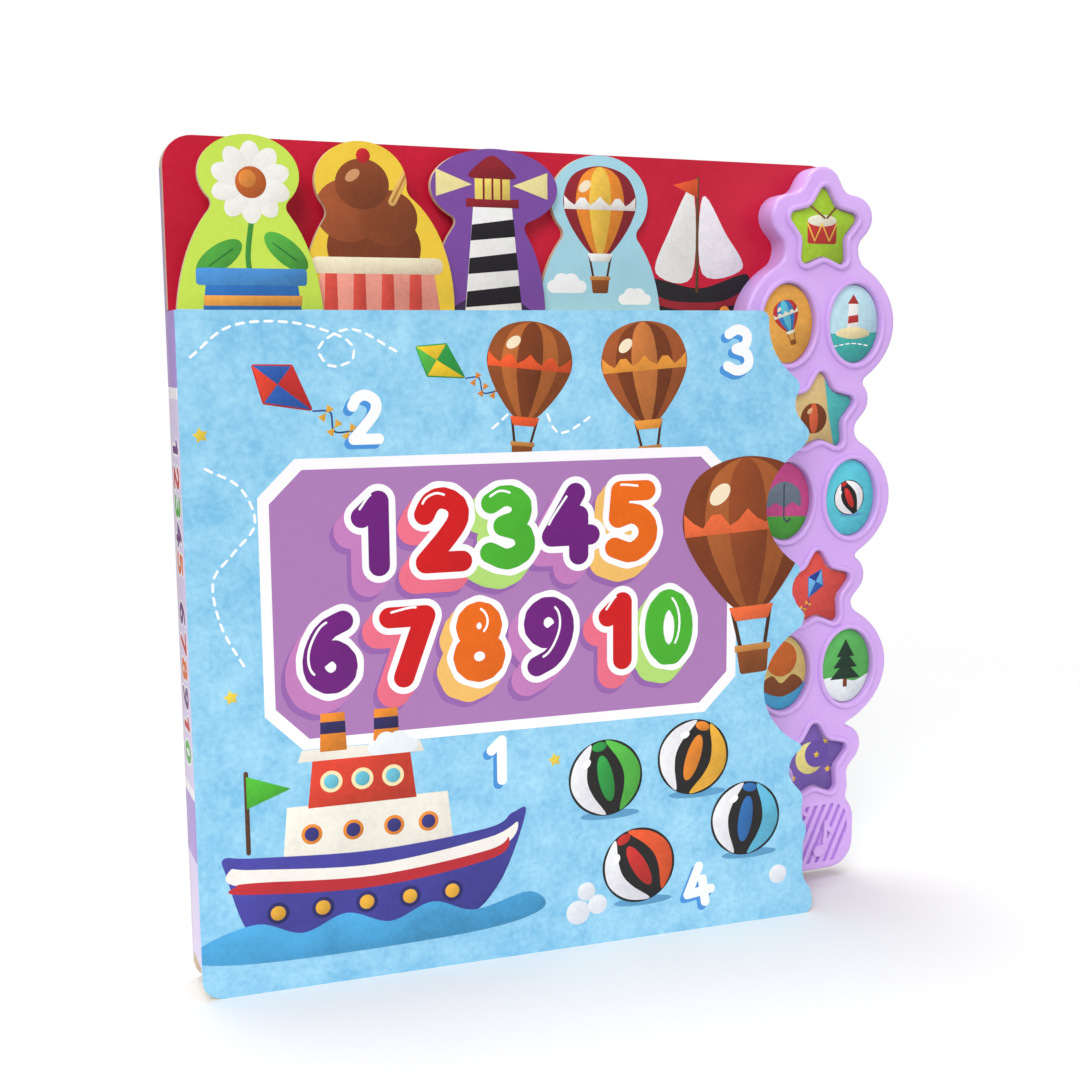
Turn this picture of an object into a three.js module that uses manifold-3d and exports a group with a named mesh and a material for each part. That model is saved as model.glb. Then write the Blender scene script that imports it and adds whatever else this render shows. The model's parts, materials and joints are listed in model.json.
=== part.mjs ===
// A board book with stepped picture tabs along its top and a sound module down its open edge.
// It stands upright on its bottom edges with the front cover slightly open.
// Sizes are in millimetres. X runs from the spine to the module, Y from the front cover to the
// back cover, and Z from the bottom edges up.
import * as THREE from 'three';
import { mergeVertices } from 'three/addons/utils/BufferGeometryUtils.js';
import Module from 'manifold-3d';

const wasm = await Module();
wasm.setup();

// Boards and leaves
const coverHeight = 212.7;
const boardThickness = 2.3;
const leafThickness = 2.3;
const leafPitch = 2.43;
const glueLine = 0.05;
const openAngle = 4.25;
const bottomCornerRound = 10;
const topCornerRound = 9;
const foreCornerRound = 3;
const foreEdgeX = 212.7;
const foreEdgeGap = 0.45;
const spineCard = 0.9;
const spineGap = 0.2;
const bindingWidth = 5;
const boardMargin = 1.2;

// Picture tabs, one on each leaf: a head lobe over a wider shoulder lobe
const tabs = [
  { head: { x: 23.5, z: 252.3, halfWidth: 15, halfHeight: 11.5 },
    body: { x: 23, z: 205, halfWidth: 22.2, halfHeight: 43 } },
  { head: { x: 58.2, z: 251.5, halfWidth: 14.5, halfHeight: 12.3 },
    body: { x: 63.5, z: 214, halfWidth: 24.3, halfHeight: 37 } },
  { head: { x: 102.9, z: 251.6, halfWidth: 21.6, halfHeight: 12.2 },
    body: { x: 100.5, z: 212, halfWidth: 19.5, halfHeight: 34 } },
  { head: { x: 141, z: 249, halfWidth: 17.6, halfHeight: 14.8 },
    body: { x: 141, z: 208, halfWidth: 22.6, halfHeight: 36 } },
];
const tabNotchRound = 3;

// Sound module housing
const columnX = 224.1;
const moduleHeight = 9.4;
const housingWall = 1.8;
const faceWall = 1.8;
const faceEdgeRound = 1.4;
const notchRound = 3.8;

// Star and oval windows with their raised rims
const starWindow = { tip: 16.4, valley: 9.3, tipRound: 2.2, valleyRound: 5 };
const starCount = 4;
const starPitch = 64.1;
const lowestStar = 49.1;
const ovalWindow = { halfWidth: 10.8, halfHeight: 14 };
const ovalRows = 3;
// Each row of ovals stands a little above the middle of two stars, and less so in each higher row
const ovalRise = 2.55;
const ovalRiseLoss = 1.6;
const ovalPitch = starPitch - ovalRiseLoss;
const lowestOval = lowestStar + starPitch / 2 + ovalRise;
const ovalSpread = 13.8;
const rimWidth = 2.05;
const rimHeight = 1;
const starBorder = 6.9;
const starWaistPinch = 0.95;
const starLobeRound = { tip: 7.5, valley: 5 };
const ovalBorder = { x: 6.6, z: 10.5 };

// Speaker end of the housing
const grilleX = 225.9;
const grilleHalfWidth = 16.7;
const grilleBottom = 6.6;
const grilleTop = 35;
const grilleRound = 10;
const grilleBorder = 3.2;
const grilleSlots = 8;
const slotPitch = 3.2;
const slotWidth = 1.5;
const slotLean = 25;
const noteHeadRadius = 2.2;
const noteProud = 0.35;

// Push buttons behind the windows
const buttonClearance = 0.3;
const buttonRecess = 1.15;
const flangeReach = 1.2;
const flangeThickness = 1.2;
const stemRadius = 1.8;
const stemLength = 1;
const domeGap = 0.75;
const labelThickness = 0.12;
const labelInset = 0.35;

// Switch mat and circuit board
const domeHeight = 1;
const domeRadius = 3;
const matThickness = 0.7;
const circuitThickness = 1;
const circuitHalfWidth = 12.2;
const circuitWing = { halfWidth: 23, halfHeight: 9 };
const circuitBottom = 39;
const circuitTop = 243;
const matInset = 0.8;
const chipRadius = 4;
const chipHeight = 1.2;

// Screws that hold the housing together through the back leaf
const screwRise = 15;
const lowestScrewZ = 34;
const bossRadius = 2.6;
const screwRadius = 0.85;
const boreClearance = 0.12;
const screwLength = 8;
const screwHeadRadius = 1.9;
const screwHeadHeight = 1;
const bossHoleClearance = 0.5;

// Back plate and battery bay
const plateThickness = 1.8;
const plateInset = 1.1;
const leafCutInset = 3.2;
const cellRadius = 5.8;
const cellHeight = 5.4;
const cellCapRadius = 4.6;
const cellCapHeight = 0.4;
const cellGap = 0.3;
const cellCount = 3;
const bayClearance = 0.4;
const bayFrameWall = 1.7;
const doorThickness = 1.7;
const doorLedge = 2;
const doorScrewLedge = 7;
const doorClearance = 0.3;
const contactThickness = 0.25;
const contactHeight = 7;

// Loudspeaker
const speakerZ = 20;
const speakerRadius = 9.5;
const speakerRim = 1.6;
const gasketThickness = 0.8;
const speakerFlange = 0.7;
const basketDepth = 3;
const basketWall = 0.6;
const magnetRadius = 5.2;
const magnetHeight = 2.6;
const wireRadius = 0.45;

// Positions through the thickness, from the front cover's face to the back
const leafFront = (index) => leafPitch * (index + 1);
const backLeafFront = leafFront(tabs.length);
const coreFront = backLeafFront + leafThickness + glueLine;
const coreBack = coreFront + boardThickness;
const backCoverFront = coreBack + glueLine;
const backCoverBack = backCoverFront + boardThickness;
const faceFront = backLeafFront - moduleHeight;
const faceBack = faceFront + faceWall;
const housingBack = backLeafFront - glueLine;
const buttonFront = faceFront + buttonRecess;
const flangeFront = faceBack + buttonClearance;
const flangeBack = flangeFront + flangeThickness;
const stemBack = flangeBack + stemLength;
const matFront = stemBack + domeGap + domeHeight;
const circuitFront = matFront + matThickness + glueLine;
const circuitBack = circuitFront + circuitThickness;
const bayFront = circuitBack + buttonClearance;
const cellFront = circuitBack + 2 * contactThickness;
const cellBack = cellFront + cellHeight;
const doorFront = cellBack + 2 * contactThickness;
const doorBack = doorFront + doorThickness;

// Materials
const finish = (color, roughness, metalness = 0) =>
  new THREE.MeshStandardMaterial({ color, roughness, metalness });
const skyBoard = finish(0x8ccaeb, 0.45);
const lilacCard = finish(0xbfa8e2, 0.45);
const leafBoard = finish(0xe8d6b8, 0.6);
const redBoard = finish(0xc21f3a, 0.45);
const greyBoard = finish(0xb9aa98, 0.8);
const housingPlastic = finish(0xd3a8f0, 0.35);
const buttonPlastic = finish(0xf2f0ee, 0.4);
const labelColours = [0xa8d030, 0xefa94a, 0x9fd3ea, 0xd9bf7c, 0xe0559a, 0x5cc8d8, 0xe4534a, 0xefc93f,
  0x5cb45c, 0x7a5db0];
const circuitBoardFinish = finish(0x2f7d46, 0.5);
const siliconeFinish = finish(0xd9d9d4, 0.6);
const epoxyFinish = finish(0x1b1b1d, 0.4);
const steelFinish = finish(0xb8bcc2, 0.3, 1);
const foamFinish = finish(0x2a2a2c, 0.9);
const paperConeFinish = finish(0x3a3634, 0.85);
const redWire = finish(0xc22a26, 0.5);
const blackWire = finish(0x222222, 0.5);

// Outlines are loops of [x, z] points that run clockwise as seen from the front.
const radians = THREE.MathUtils.degToRad;

// A loop of corners, each rounded by an arc of its own radius.
function roundedLoop(corners, steps = 4) {
  const points = [];
  corners.forEach((corner, index) => {
    if (!corner.r) {
      points.push([corner.x, corner.z]);
      return;
    }
    const here = new THREE.Vector2(corner.x, corner.z);
    const before = corners.at(index - 1);
    const after = corners[(index + 1) % corners.length];
    const toBefore = new THREE.Vector2(before.x, before.z).sub(here).normalize();
    const toAfter = new THREE.Vector2(after.x, after.z).sub(here).normalize();
    const halfAngle = Math.acos(THREE.MathUtils.clamp(toBefore.dot(toAfter), -1, 1)) / 2;
    const bisector = toBefore.clone().add(toAfter).normalize();
    const centre = here.clone().addScaledVector(bisector, corner.r / Math.sin(halfAngle));
    const start = here.clone().addScaledVector(toBefore, corner.r / Math.tan(halfAngle)).sub(centre);
    const turn = Math.PI - 2 * halfAngle;
    const side = Math.sign(toBefore.cross(toAfter));
    const count = corner.steps ?? steps;
    for (let step = 0; step <= count; step += 1) {
      const angle = (side * turn * step) / count;
      points.push([
        centre.x + start.x * Math.cos(angle) + start.y * Math.sin(angle),
        centre.y - start.x * Math.sin(angle) + start.y * Math.cos(angle),
      ]);
    }
  });
  return points;
}

// Distance from a star's centre to its straight edges, which sets how far an offset moves its corners.
function starEdgeDistance({ tip, valley }) {
  const side = [valley * Math.sin(radians(36)), tip - valley * Math.cos(radians(36))];
  return (tip * side[0]) / Math.hypot(...side);
}

// A star of five rounded points, grown outwards by an offset.
function starLoop(x, z, star, offset = 0, steps = { tip: 2, valley: 2 }) {
  const growth = 1 + offset / starEdgeDistance(star);
  const corners = [];
  for (let arm = 0; arm < 5; arm += 1) {
    const tipAngle = radians(72 * arm);
    const valleyAngle = tipAngle + radians(36);
    const tip = star.tip * growth;
    const valley = star.valley * growth;
    corners.push({ x: x + tip * Math.sin(tipAngle), z: z + tip * Math.cos(tipAngle),
      r: star.tipRound + offset, steps: steps.tip });
    corners.push({ x: x + valley * Math.sin(valleyAngle), z: z + valley * Math.cos(valleyAngle),
      r: Math.max(star.valleyRound - offset, 0.5), steps: steps.valley });
  }
  const points = roundedLoop(corners);
  const topIndex = steps.tip / 2;
  return [...points.slice(topIndex), ...points.slice(0, topIndex)];
}

function ovalLoop(x, z, halfWidth, halfHeight, count = 24) {
  return Array.from({ length: count }, (_, index) => {
    const angle = (2 * Math.PI * index) / count;
    return [x + halfWidth * Math.sin(angle), z + halfHeight * Math.cos(angle)];
  });
}

function boxLoop(x0, x1, z0, z1, r = 0, steps = 4) {
  return roundedLoop([
    { x: (x0 + x1) / 2, z: z1 }, { x: x1, z: z1, r, steps }, { x: x1, z: z0, r, steps },
    { x: (x0 + x1) / 2, z: z0 }, { x: x0, z: z0, r, steps }, { x: x0, z: z1, r, steps },
  ]);
}

function holds(loop, [x, z]) {
  let within = false;
  loop.forEach(([ax, az], index) => {
    const [bx, bz] = loop.at(index - 1);
    if ((az > z) !== (bz > z) && x < ax + ((z - az) * (bx - ax)) / (bz - az)) {
      within = !within;
    }
  });
  return within;
}

// Where the line through a and b meets the line through c and d.
function crossing(a, b, c, d) {
  const [ux, uz] = [b[0] - a[0], b[1] - a[1]];
  const [vx, vz] = [d[0] - c[0], d[1] - c[1]];
  const along = ((c[0] - a[0]) * vz - (c[1] - a[1]) * vx) / (ux * vz - uz * vx);
  return [a[0] + ux * along, a[1] + uz * along];
}

const distance = (a, b) => Math.hypot(a[0] - b[0], a[1] - b[1]);

// One side of a column of overlapping lobes, from its top to its bottom. side is 1 for the right
// and -1 for the left. Where two lobes meet, a short curve rounds the notch between them.
function columnSide(lobes, side, round) {
  const chain = [];
  let lastRun = null;
  for (const lobe of lobes) {
    const ordered = side > 0 ? lobe.loop : [lobe.loop[0], ...lobe.loop.slice(1).reverse()];
    const half = ordered.filter(([x]) => (x - lobe.x) * side > -1e-6);
    const free = half.map((point) => !lobes.some((other) => other !== lobe && holds(other.loop, point)));
    const first = free.indexOf(true);
    const last = free.lastIndexOf(true);
    let run = half.slice(first, last + 1);
    if (lastRun) {
      const notch = crossing(lastRun.end, lastRun.beyond, half[first], half[first - 1]);
      while (distance(chain.at(-1), notch) < round) {
        chain.pop();
      }
      run = run.filter((point, index) => index > run.length / 2 || distance(point, notch) >= round);
      const curve = new THREE.QuadraticBezierCurve(
        new THREE.Vector2(...chain.at(-1)), new THREE.Vector2(...notch), new THREE.Vector2(...run[0]));
      chain.push(...curve.getPoints(4).slice(1, -1).map((point) => point.toArray()));
    }
    chain.push(...run);
    lastRun = { end: half[last], beyond: half[last + 1] };
  }
  return chain;
}

// A loop moved outwards along its own normals by a distance, or inwards where it is negative.
function offsetLoop(loop, amount) {
  return loop.map((point, index) => {
    const before = loop.at(index - 1);
    const after = loop[(index + 1) % loop.length];
    const first = new THREE.Vector2(before[1] - point[1], point[0] - before[0]).normalize();
    const second = new THREE.Vector2(point[1] - after[1], after[0] - point[0]).normalize();
    const scale = amount / (1 + first.dot(second));
    return [point[0] + (first.x + second.x) * scale, point[1] + (first.y + second.y) * scale];
  });
}

// Loops that several pieces share
const starHeights = Array.from({ length: starCount }, (_, index) => lowestStar + starPitch * index);
const ovalHeights = Array.from({ length: ovalRows }, (_, index) => lowestOval + ovalPitch * index);
const lobeGrowth = 1 + starBorder / starEdgeDistance(starWindow);
const starLobe = {
  tip: starWindow.tip * lobeGrowth,
  valley: starWindow.valley * lobeGrowth - starWaistPinch,
  tipRound: starLobeRound.tip,
  valleyRound: starLobeRound.valley,
};
const ovalLobe = {
  halfWidth: ovalSpread + ovalWindow.halfWidth + ovalBorder.x,
  halfHeight: ovalWindow.halfHeight + ovalBorder.z,
};

const lobeSteps = { tip: 4, valley: 2 };

// The lobes of the housing's outline from the top down, each grown outwards by a distance
function housingLobes(grow = 0) {
  const stars = starHeights.map((z) => ({ x: columnX, z, loop: starLoop(columnX, z, starLobe, grow, lobeSteps) }));
  const ovals = ovalHeights.map((z) => ({
    x: columnX, z, loop: ovalLoop(columnX, z, ovalLobe.halfWidth + grow, ovalLobe.halfHeight + grow, 28),
  }));
  const speakerEnd = {
    x: grilleX, z: grilleBottom,
    loop: boxLoop(grilleX - grilleHalfWidth - grow, grilleX + grilleHalfWidth + grow,
      grilleBottom - grow, grilleTop + grow, grilleRound + grow),
  };
  return [...stars, ...ovals, speakerEnd].sort((a, b) => b.z - a.z);
}

const rightSide = columnSide(housingLobes(), 1, notchRound);
const leftSide = columnSide(housingLobes(), -1, notchRound);
const housingLoop = [...rightSide, ...leftSide.slice(1, -1).reverse()];
const marginSide = columnSide(housingLobes(boardMargin), 1, notchRound);
const boardTop = marginSide[0][1];
const marginBottom = marginSide.at(-1)[1];

// The leaves and the front cover share a fore edge that runs beside the housing with a small gap.
function foreEdge() {
  const side = columnSide(housingLobes(foreEdgeGap), -1, notchRound);
  const within = side.filter(([x, z]) => z < coverHeight - foreCornerRound && x < foreEdgeX
    && z > grilleBottom);
  const topX = within[0][0];
  const corners = [
    { x: topX, z: coverHeight, r: foreCornerRound },
    ...within.map(([x, z]) => ({ x, z })),
    { x: foreEdgeX, z: within.at(-1)[1] - foreCornerRound },
    { x: foreEdgeX, z: 0, r: foreCornerRound },
  ];
  return corners;
}

function coverLoop() {
  return roundedLoop([
    { x: 0, z: coverHeight }, ...foreEdge(), { x: 0, z: 0, r: bottomCornerRound, steps: 6 },
  ]);
}

const leafX = spineCard + spineGap;

function leafLoop() {
  return roundedLoop([
    { x: leafX, z: coverHeight }, ...foreEdge(), { x: leafX, z: 0, r: bottomCornerRound, steps: 6 },
  ]);
}

function tabLoop({ head, body }) {
  const lobes = [head, body].map((lobe) => ({
    x: lobe.x, loop: ovalLoop(lobe.x, lobe.z, lobe.halfWidth, lobe.halfHeight, 28),
  }));
  const right = columnSide(lobes, 1, tabNotchRound);
  const left = columnSide(lobes, -1, tabNotchRound);
  return [...right, ...left.slice(1, -1).reverse()];
}

// The back boards: a rectangle behind the leaves that grows into a margin round the housing. Where
// the spine strip passes, they start at left, and above it at the fold.
function backLoop(left) {
  const stepZ = coverHeight + spineGap;
  const step = left > 0 ? [{ x: left, z: stepZ }, { x: 0, z: stepZ }] : [];
  return roundedLoop([
    ...marginSide.map(([x, z]) => ({ x, z })),
    { x: foreEdgeX, z: marginBottom },
    { x: foreEdgeX, z: 0, r: foreCornerRound },
    { x: left, z: 0, r: bottomCornerRound, steps: 6 },
    ...step,
    { x: 0, z: boardTop, r: topCornerRound, steps: 6 },
  ]);
}

// Solids
function asSolid(geometry) {
  const bare = geometry.index ? geometry.clone() : geometry;
  bare.deleteAttribute('normal');
  bare.deleteAttribute('uv');
  const merged = mergeVertices(bare, 1e-4);
  return new wasm.Manifold(new wasm.Mesh({
    numProp: 3,
    vertProperties: new Float32Array(merged.attributes.position.array),
    triVerts: new Uint32Array(merged.index.array),
  }));
}

const join = (...solids) => solids.reduce((whole, solid) => whole.add(solid));
const cut = (solid, ...tools) => tools.reduce((rest, tool) => rest.subtract(tool), solid);

// A plate with the outline of a loop, between two depths, with holes through it.
function plate(loop, front, back, holes = [], bevel = 0) {
  const shape = new THREE.Shape(loop.map(([x, z]) => new THREE.Vector2(x, z)));
  const geometry = new THREE.ExtrudeGeometry(shape, {
    depth: back - front - 2 * bevel, bevelEnabled: bevel > 0, bevelThickness: bevel, bevelSize: bevel,
    bevelOffset: -bevel, bevelSegments: 1, curveSegments: 1,
  });
  geometry.rotateX(Math.PI / 2).translate(0, back - bevel, 0);
  return cut(asSolid(geometry), ...holes.map((hole) => plate(hole, front - 1, back + 1)));
}

// A round piece on an axis along Y, from a closed profile of [radius, depth] points.
function turned(profile, x, z, segments = 20) {
  const points = profile.map(([radius, y]) => new THREE.Vector2(radius, y));
  const geometry = new THREE.LatheGeometry([...points, points[0]], segments);
  geometry.translate(x, 0, z);
  const solid = asSolid(geometry);
  if (solid.volume() > 0) {
    return solid;
  }
  geometry.index.array.reverse();
  return asSolid(geometry);
}

function rod(x, z, radius, front, back, segments = 12) {
  const geometry = new THREE.CylinderGeometry(radius, radius, back - front, segments);
  return asSolid(geometry.translate(x, (front + back) / 2, z));
}

function block(x0, x1, y0, y1, z0, z1) {
  const geometry = new THREE.BoxGeometry(x1 - x0, y1 - y0, z1 - z0);
  return asSolid(geometry.translate((x0 + x1) / 2, (y0 + y1) / 2, (z0 + z1) / 2));
}

function wire(points) {
  const path = new THREE.CatmullRomCurve3(points.map((point) => new THREE.Vector3(...point)));
  const section = new THREE.Shape().absarc(0, 0, wireRadius, 0, 2 * Math.PI);
  return asSolid(new THREE.ExtrudeGeometry(section, {
    steps: 8, curveSegments: 3, bevelEnabled: false, extrudePath: path,
  }));
}

function piece(name, solid, material) {
  const { vertProperties, triVerts } = solid.getMesh();
  const geometry = new THREE.BufferGeometry();
  geometry.setAttribute('position', new THREE.BufferAttribute(vertProperties, 3));
  geometry.setIndex(new THREE.BufferAttribute(triVerts, 1));
  geometry.computeVertexNormals();
  const mesh = new THREE.Mesh(geometry, material);
  mesh.name = name;
  return mesh;
}

// Front cover, hinged at the fold where it meets the spine
function frontCover() {
  const hinge = new THREE.Group();
  hinge.add(piece('front_cover', plate(coverLoop(), 0, boardThickness), skyBoard));
  hinge.rotation.z = -radians(openAngle);
  return hinge;
}

// The card that wraps the spine stops above the rounded bottom corners.
function spineStrip() {
  return piece('spine_strip', block(0, spineCard, leafPitch + spineGap, coreBack - spineGap,
    bottomCornerRound, coverHeight), lilacCard);
}

// Leaves bound along the spine, each with its own tab
function pageBlock() {
  const leaves = tabs.map((tab, index) => {
    const front = leafFront(index);
    const back = front + leafThickness;
    const tabBoard = cut(plate(tabLoop(tab), front, back),
      block(0, columnX, front - 1, back + 1, 0, coverHeight - bottomCornerRound));
    const trimmed = cut(tabBoard, block(-bindingWidth, leafX, front - 1, back + 1, 0, boardTop));
    return join(plate(leafLoop(), front, back), trimmed);
  });
  const binding = block(leafX, leafX + bindingWidth, leafFront(0) + leafThickness / 2,
    leafFront(tabs.length - 1) + leafThickness / 2, bottomCornerRound, coverHeight);
  return piece('page_block', join(...leaves, binding), leafBoard);
}

// Back boards: the red last leaf, a core that holds the back plate, and the outer cover
function bossPlaces() {
  return [...ovalHeights.map((z) => z + screwRise), lowestScrewZ];
}

const cellPitch = 2 * cellRadius + cellGap;
const bayHalfWidth = (cellPitch * (cellCount - 1)) / 2 + cellRadius + bayClearance;
const bayHalfHeight = cellRadius + bayClearance;
const bayZ = ovalHeights[Math.floor(ovalRows / 2)];
const recess = {
  x0: columnX - bayHalfWidth - (doorLedge + doorScrewLedge) / 2,
  x1: columnX + bayHalfWidth + (doorLedge + doorScrewLedge) / 2,
  z0: bayZ - bayHalfHeight - doorLedge,
  z1: bayZ + bayHalfHeight + doorLedge,
};
const bayX = recess.x0 + doorLedge + bayHalfWidth;
const doorScrewX = recess.x1 - doorScrewLedge / 2;
const frame = {
  x0: recess.x0 - bayFrameWall, x1: recess.x1 + bayFrameWall,
  z0: recess.z0 - bayFrameWall, z1: recess.z1 + bayFrameWall,
};
const frameLoop = (gap) => boxLoop(frame.x0 - gap, frame.x1 + gap, frame.z0 - gap, frame.z1 + gap, 2, 2);

function backBoards() {
  const backLeaf = plate(backLoop(leafX), backLeafFront, backLeafFront + leafThickness,
    [offsetLoop(housingLoop, -leafCutInset)]);
  const core = plate(backLoop(leafX), coreFront, coreBack,
    [offsetLoop(housingLoop, buttonClearance - plateInset)]);
  const cover = plate(backLoop(0), backCoverFront, backCoverBack, [frameLoop(buttonClearance)]);
  return [
    piece('back_leaf', backLeaf, redBoard),
    piece('core_board', core, greyBoard),
    piece('back_cover', cover, skyBoard),
  ];
}

// Housing front: face with windows, rims, grille, side wall and screw bosses
function windowLoops(offset) {
  return [
    ...starHeights.map((z) => starLoop(columnX, z, starWindow, offset)),
    ...ovalHeights.flatMap((z) => [-1, 1].map((side) =>
      ovalLoop(columnX + side * ovalSpread, z, ovalWindow.halfWidth + offset, ovalWindow.halfHeight + offset))),
  ];
}

function grilleCut() {
  const area = plate(boxLoop(grilleX - grilleHalfWidth + grilleBorder, grilleX + grilleHalfWidth - grilleBorder,
    grilleBottom + grilleBorder, grilleTop - grilleBorder, grilleRound - grilleBorder),
  faceFront - 1, faceBack + 1);
  const middleZ = (grilleBottom + grilleTop) / 2;
  const bars = [];
  for (let index = 0; index < grilleSlots; index += 1) {
    const across = (index - (grilleSlots - 1) / 2) * (slotPitch / Math.cos(radians(slotLean)));
    const bar = new THREE.BoxGeometry(slotWidth, faceWall + 2, 2 * grilleTop);
    bar.rotateY(radians(slotLean)).translate(grilleX + across, (faceFront + faceBack) / 2, middleZ);
    bars.push(asSolid(bar));
  }
  return join(...bars).intersect(area);
}

// A raised quaver: round head, leaning stem and flag
function note(x, z, scale) {
  const front = faceFront - noteProud;
  const r = noteHeadRadius * scale;
  const head = plate(ovalLoop(x, z, r, r, 14), front, faceBack);
  const stem = plate([[x + r * 0.5, z], [x + r * 0.9, z + r * 4.2], [x + r * 1.4, z + r * 4.2], [x + r, z]],
    front, faceBack);
  const flag = plate([[x + r * 0.9, z + r * 4.2], [x + r * 2.6, z + r * 3], [x + r * 2.4, z + r * 2.2],
    [x + r * 1.2, z + r * 3.2]], front, faceBack);
  return join(head, stem, flag);
}

function housingFront() {
  const body = plate(housingLoop, faceFront, housingBack + 2 * faceEdgeRound, [], faceEdgeRound);
  const cavity = plate(offsetLoop(housingLoop, -housingWall), faceBack, housingBack + 4 * faceEdgeRound);
  const behind = block(0, 2 * columnX, housingBack, housingBack + 4 * faceEdgeRound, 0, boardTop);
  const rims = windowLoops(rimWidth).map((loop) => plate(loop, faceFront - rimHeight, faceFront + faceWall / 2));
  const windows = windowLoops(0).map((loop) => plate(loop, faceFront - rimHeight - 1, faceBack + 1));
  const plateFront = backLeafFront + leafThickness + glueLine;
  const bosses = bossPlaces().map((z) => rod(columnX, z, bossRadius, faceBack - faceWall / 2,
    plateFront - glueLine));
  const bores = bossPlaces().map((z) => rod(columnX, z, screwRadius + boreClearance,
    plateFront - screwLength, plateFront + 1, 8));
  const shell = join(cut(body, cavity, behind), ...rims, ...bosses);
  const opened = cut(shell, ...windows, ...bores, grilleCut());
  return piece('module_front_shell', join(opened, note(grilleX + 1.5, grilleBottom + 9, 1),
    note(grilleX - 8.5, grilleBottom + 18.5, 0.75)), housingPlastic);
}

// Housing back: a plate behind the back leaf with the battery bay's frame
function housingBackPlate() {
  const front = coreFront;
  const back = front + plateThickness;
  const base = plate(offsetLoop(housingLoop, -plateInset), front, back);
  const frameBlock = plate(frameLoop(0), bayFront, doorBack);
  const bay = block(bayX - bayHalfWidth, bayX + bayHalfWidth, bayFront - 1, doorBack + 1,
    bayZ - bayHalfHeight, bayZ + bayHalfHeight);
  const doorRecess = block(recess.x0, recess.x1, doorFront - glueLine, doorBack + 1, recess.z0, recess.z1);
  const holes = bossPlaces().map((z) => join(
    rod(columnX, z, screwRadius + boreClearance, front - 1, back + 1, 8),
    rod(columnX, z, screwHeadRadius + boreClearance, back - screwHeadHeight, back + 1)));
  const doorBore = rod(doorScrewX, bayZ, screwRadius + boreClearance, bayFront + doorThickness, doorBack, 8);
  return piece('module_back_plate', cut(join(base, frameBlock), bay, doorRecess, doorBore, ...holes),
    housingPlastic);
}

// A screw with a round head and a cross recess, its head's outer face at a depth
function screw(name, x, z, headBack) {
  const headFront = headBack - screwHeadHeight;
  const solid = join(rod(x, z, screwHeadRadius, headFront, headBack, 14),
    rod(x, z, screwRadius, headFront - screwLength + screwHeadHeight + 2, headFront + 0.2, 8));
  const arm = screwHeadRadius * 0.6;
  const slots = [block(x - arm, x + arm, headBack - 0.5, headBack + 1, z - 0.3, z + 0.3),
    block(x - 0.3, x + 0.3, headBack - 0.5, headBack + 1, z - arm, z + arm)];
  return piece(name, cut(solid, ...slots), steelFinish);
}

function housingScrews() {
  const headBack = coreFront + plateThickness;
  return bossPlaces().map((z, index) => screw(`module_screw_${index + 1}`, columnX, z, headBack));
}

// Push buttons with their printed labels, each in its own window
function buttonPlaces() {
  const stars = starHeights.map((z) => ({ kind: 'star', x: columnX, z }));
  const ovals = ovalHeights.flatMap((z) => [-1, 1].map((side) => ({
    kind: 'oval', x: columnX + side * ovalSpread, z,
  })));
  return [...stars, ...ovals].sort((a, b) => b.z - a.z || a.x - b.x);
}

function buttonLoop({ kind, x, z }, offset) {
  return kind === 'star'
    ? starLoop(x, z, starWindow, offset)
    : ovalLoop(x, z, ovalWindow.halfWidth + offset, ovalWindow.halfHeight + offset);
}

function buttons() {
  return buttonPlaces().flatMap((place, index) => {
    const cap = join(
      plate(buttonLoop(place, -buttonClearance), buttonFront, flangeBack),
      plate(buttonLoop(place, flangeReach), flangeFront, flangeBack),
      rod(place.x, place.z, stemRadius, flangeBack - 0.2, stemBack, 8));
    const label = plate(buttonLoop(place, -buttonClearance - labelInset),
      buttonFront - glueLine - labelThickness, buttonFront - glueLine);
    return [
      piece(`button_${index + 1}_cap`, cap, buttonPlastic),
      piece(`button_${index + 1}_label`, label, finish(labelColours[index % labelColours.length], 0.5)),
    ];
  });
}

// Circuit board: a strip with a wing at each row of ovals, so that it passes the housing's waists
function circuitLoop(inset) {
  const right = [];
  for (const z of ovalHeights.toReversed()) {
    right.push({ x: circuitHalfWidth, z: z + circuitWing.halfHeight },
      { x: circuitWing.halfWidth, z: z + circuitWing.halfHeight },
      { x: circuitWing.halfWidth, z: z - circuitWing.halfHeight },
      { x: circuitHalfWidth, z: z - circuitWing.halfHeight });
  }
  const side = [{ x: circuitHalfWidth, z: circuitTop }, ...right, { x: circuitHalfWidth, z: circuitBottom }];
  const points = side.map(({ x, z }) => [columnX + x, z]);
  const mirrored = side.map(({ x, z }) => [columnX - x, z]).reverse();
  return offsetLoop([...points, ...mirrored], -inset);
}

function bossHoles() {
  return bossPlaces().filter((z) => z > circuitBottom)
    .map((z) => ovalLoop(columnX, z, bossRadius + bossHoleClearance, bossRadius + bossHoleClearance, 12));
}

function circuitParts() {
  const board = plate(circuitLoop(0), circuitFront, circuitBack, bossHoles());
  const matBack = matFront + matThickness;
  const mat = plate(circuitLoop(matInset), matFront, matBack, bossHoles());
  const domes = buttonPlaces().map(({ x, z }) => turned([[0, matFront - domeHeight],
    [domeRadius * 0.6, matFront - domeHeight], [domeRadius, matFront + matThickness / 2],
    [0, matFront + matThickness / 2]], x, z, 12));
  const chipZ = starHeights[1];
  const chip = turned([[0, circuitBack + glueLine], [chipRadius, circuitBack + glueLine],
    [chipRadius * 0.8, circuitBack + glueLine + chipHeight * 0.7], [0, circuitBack + glueLine + chipHeight]],
  columnX, chipZ, 14);
  return [
    piece('circuit_board', board, circuitBoardFinish),
    piece('switch_mat', join(mat, ...domes), siliconeFinish),
    piece('sound_chip', chip, epoxyFinish),
  ];
}

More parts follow.
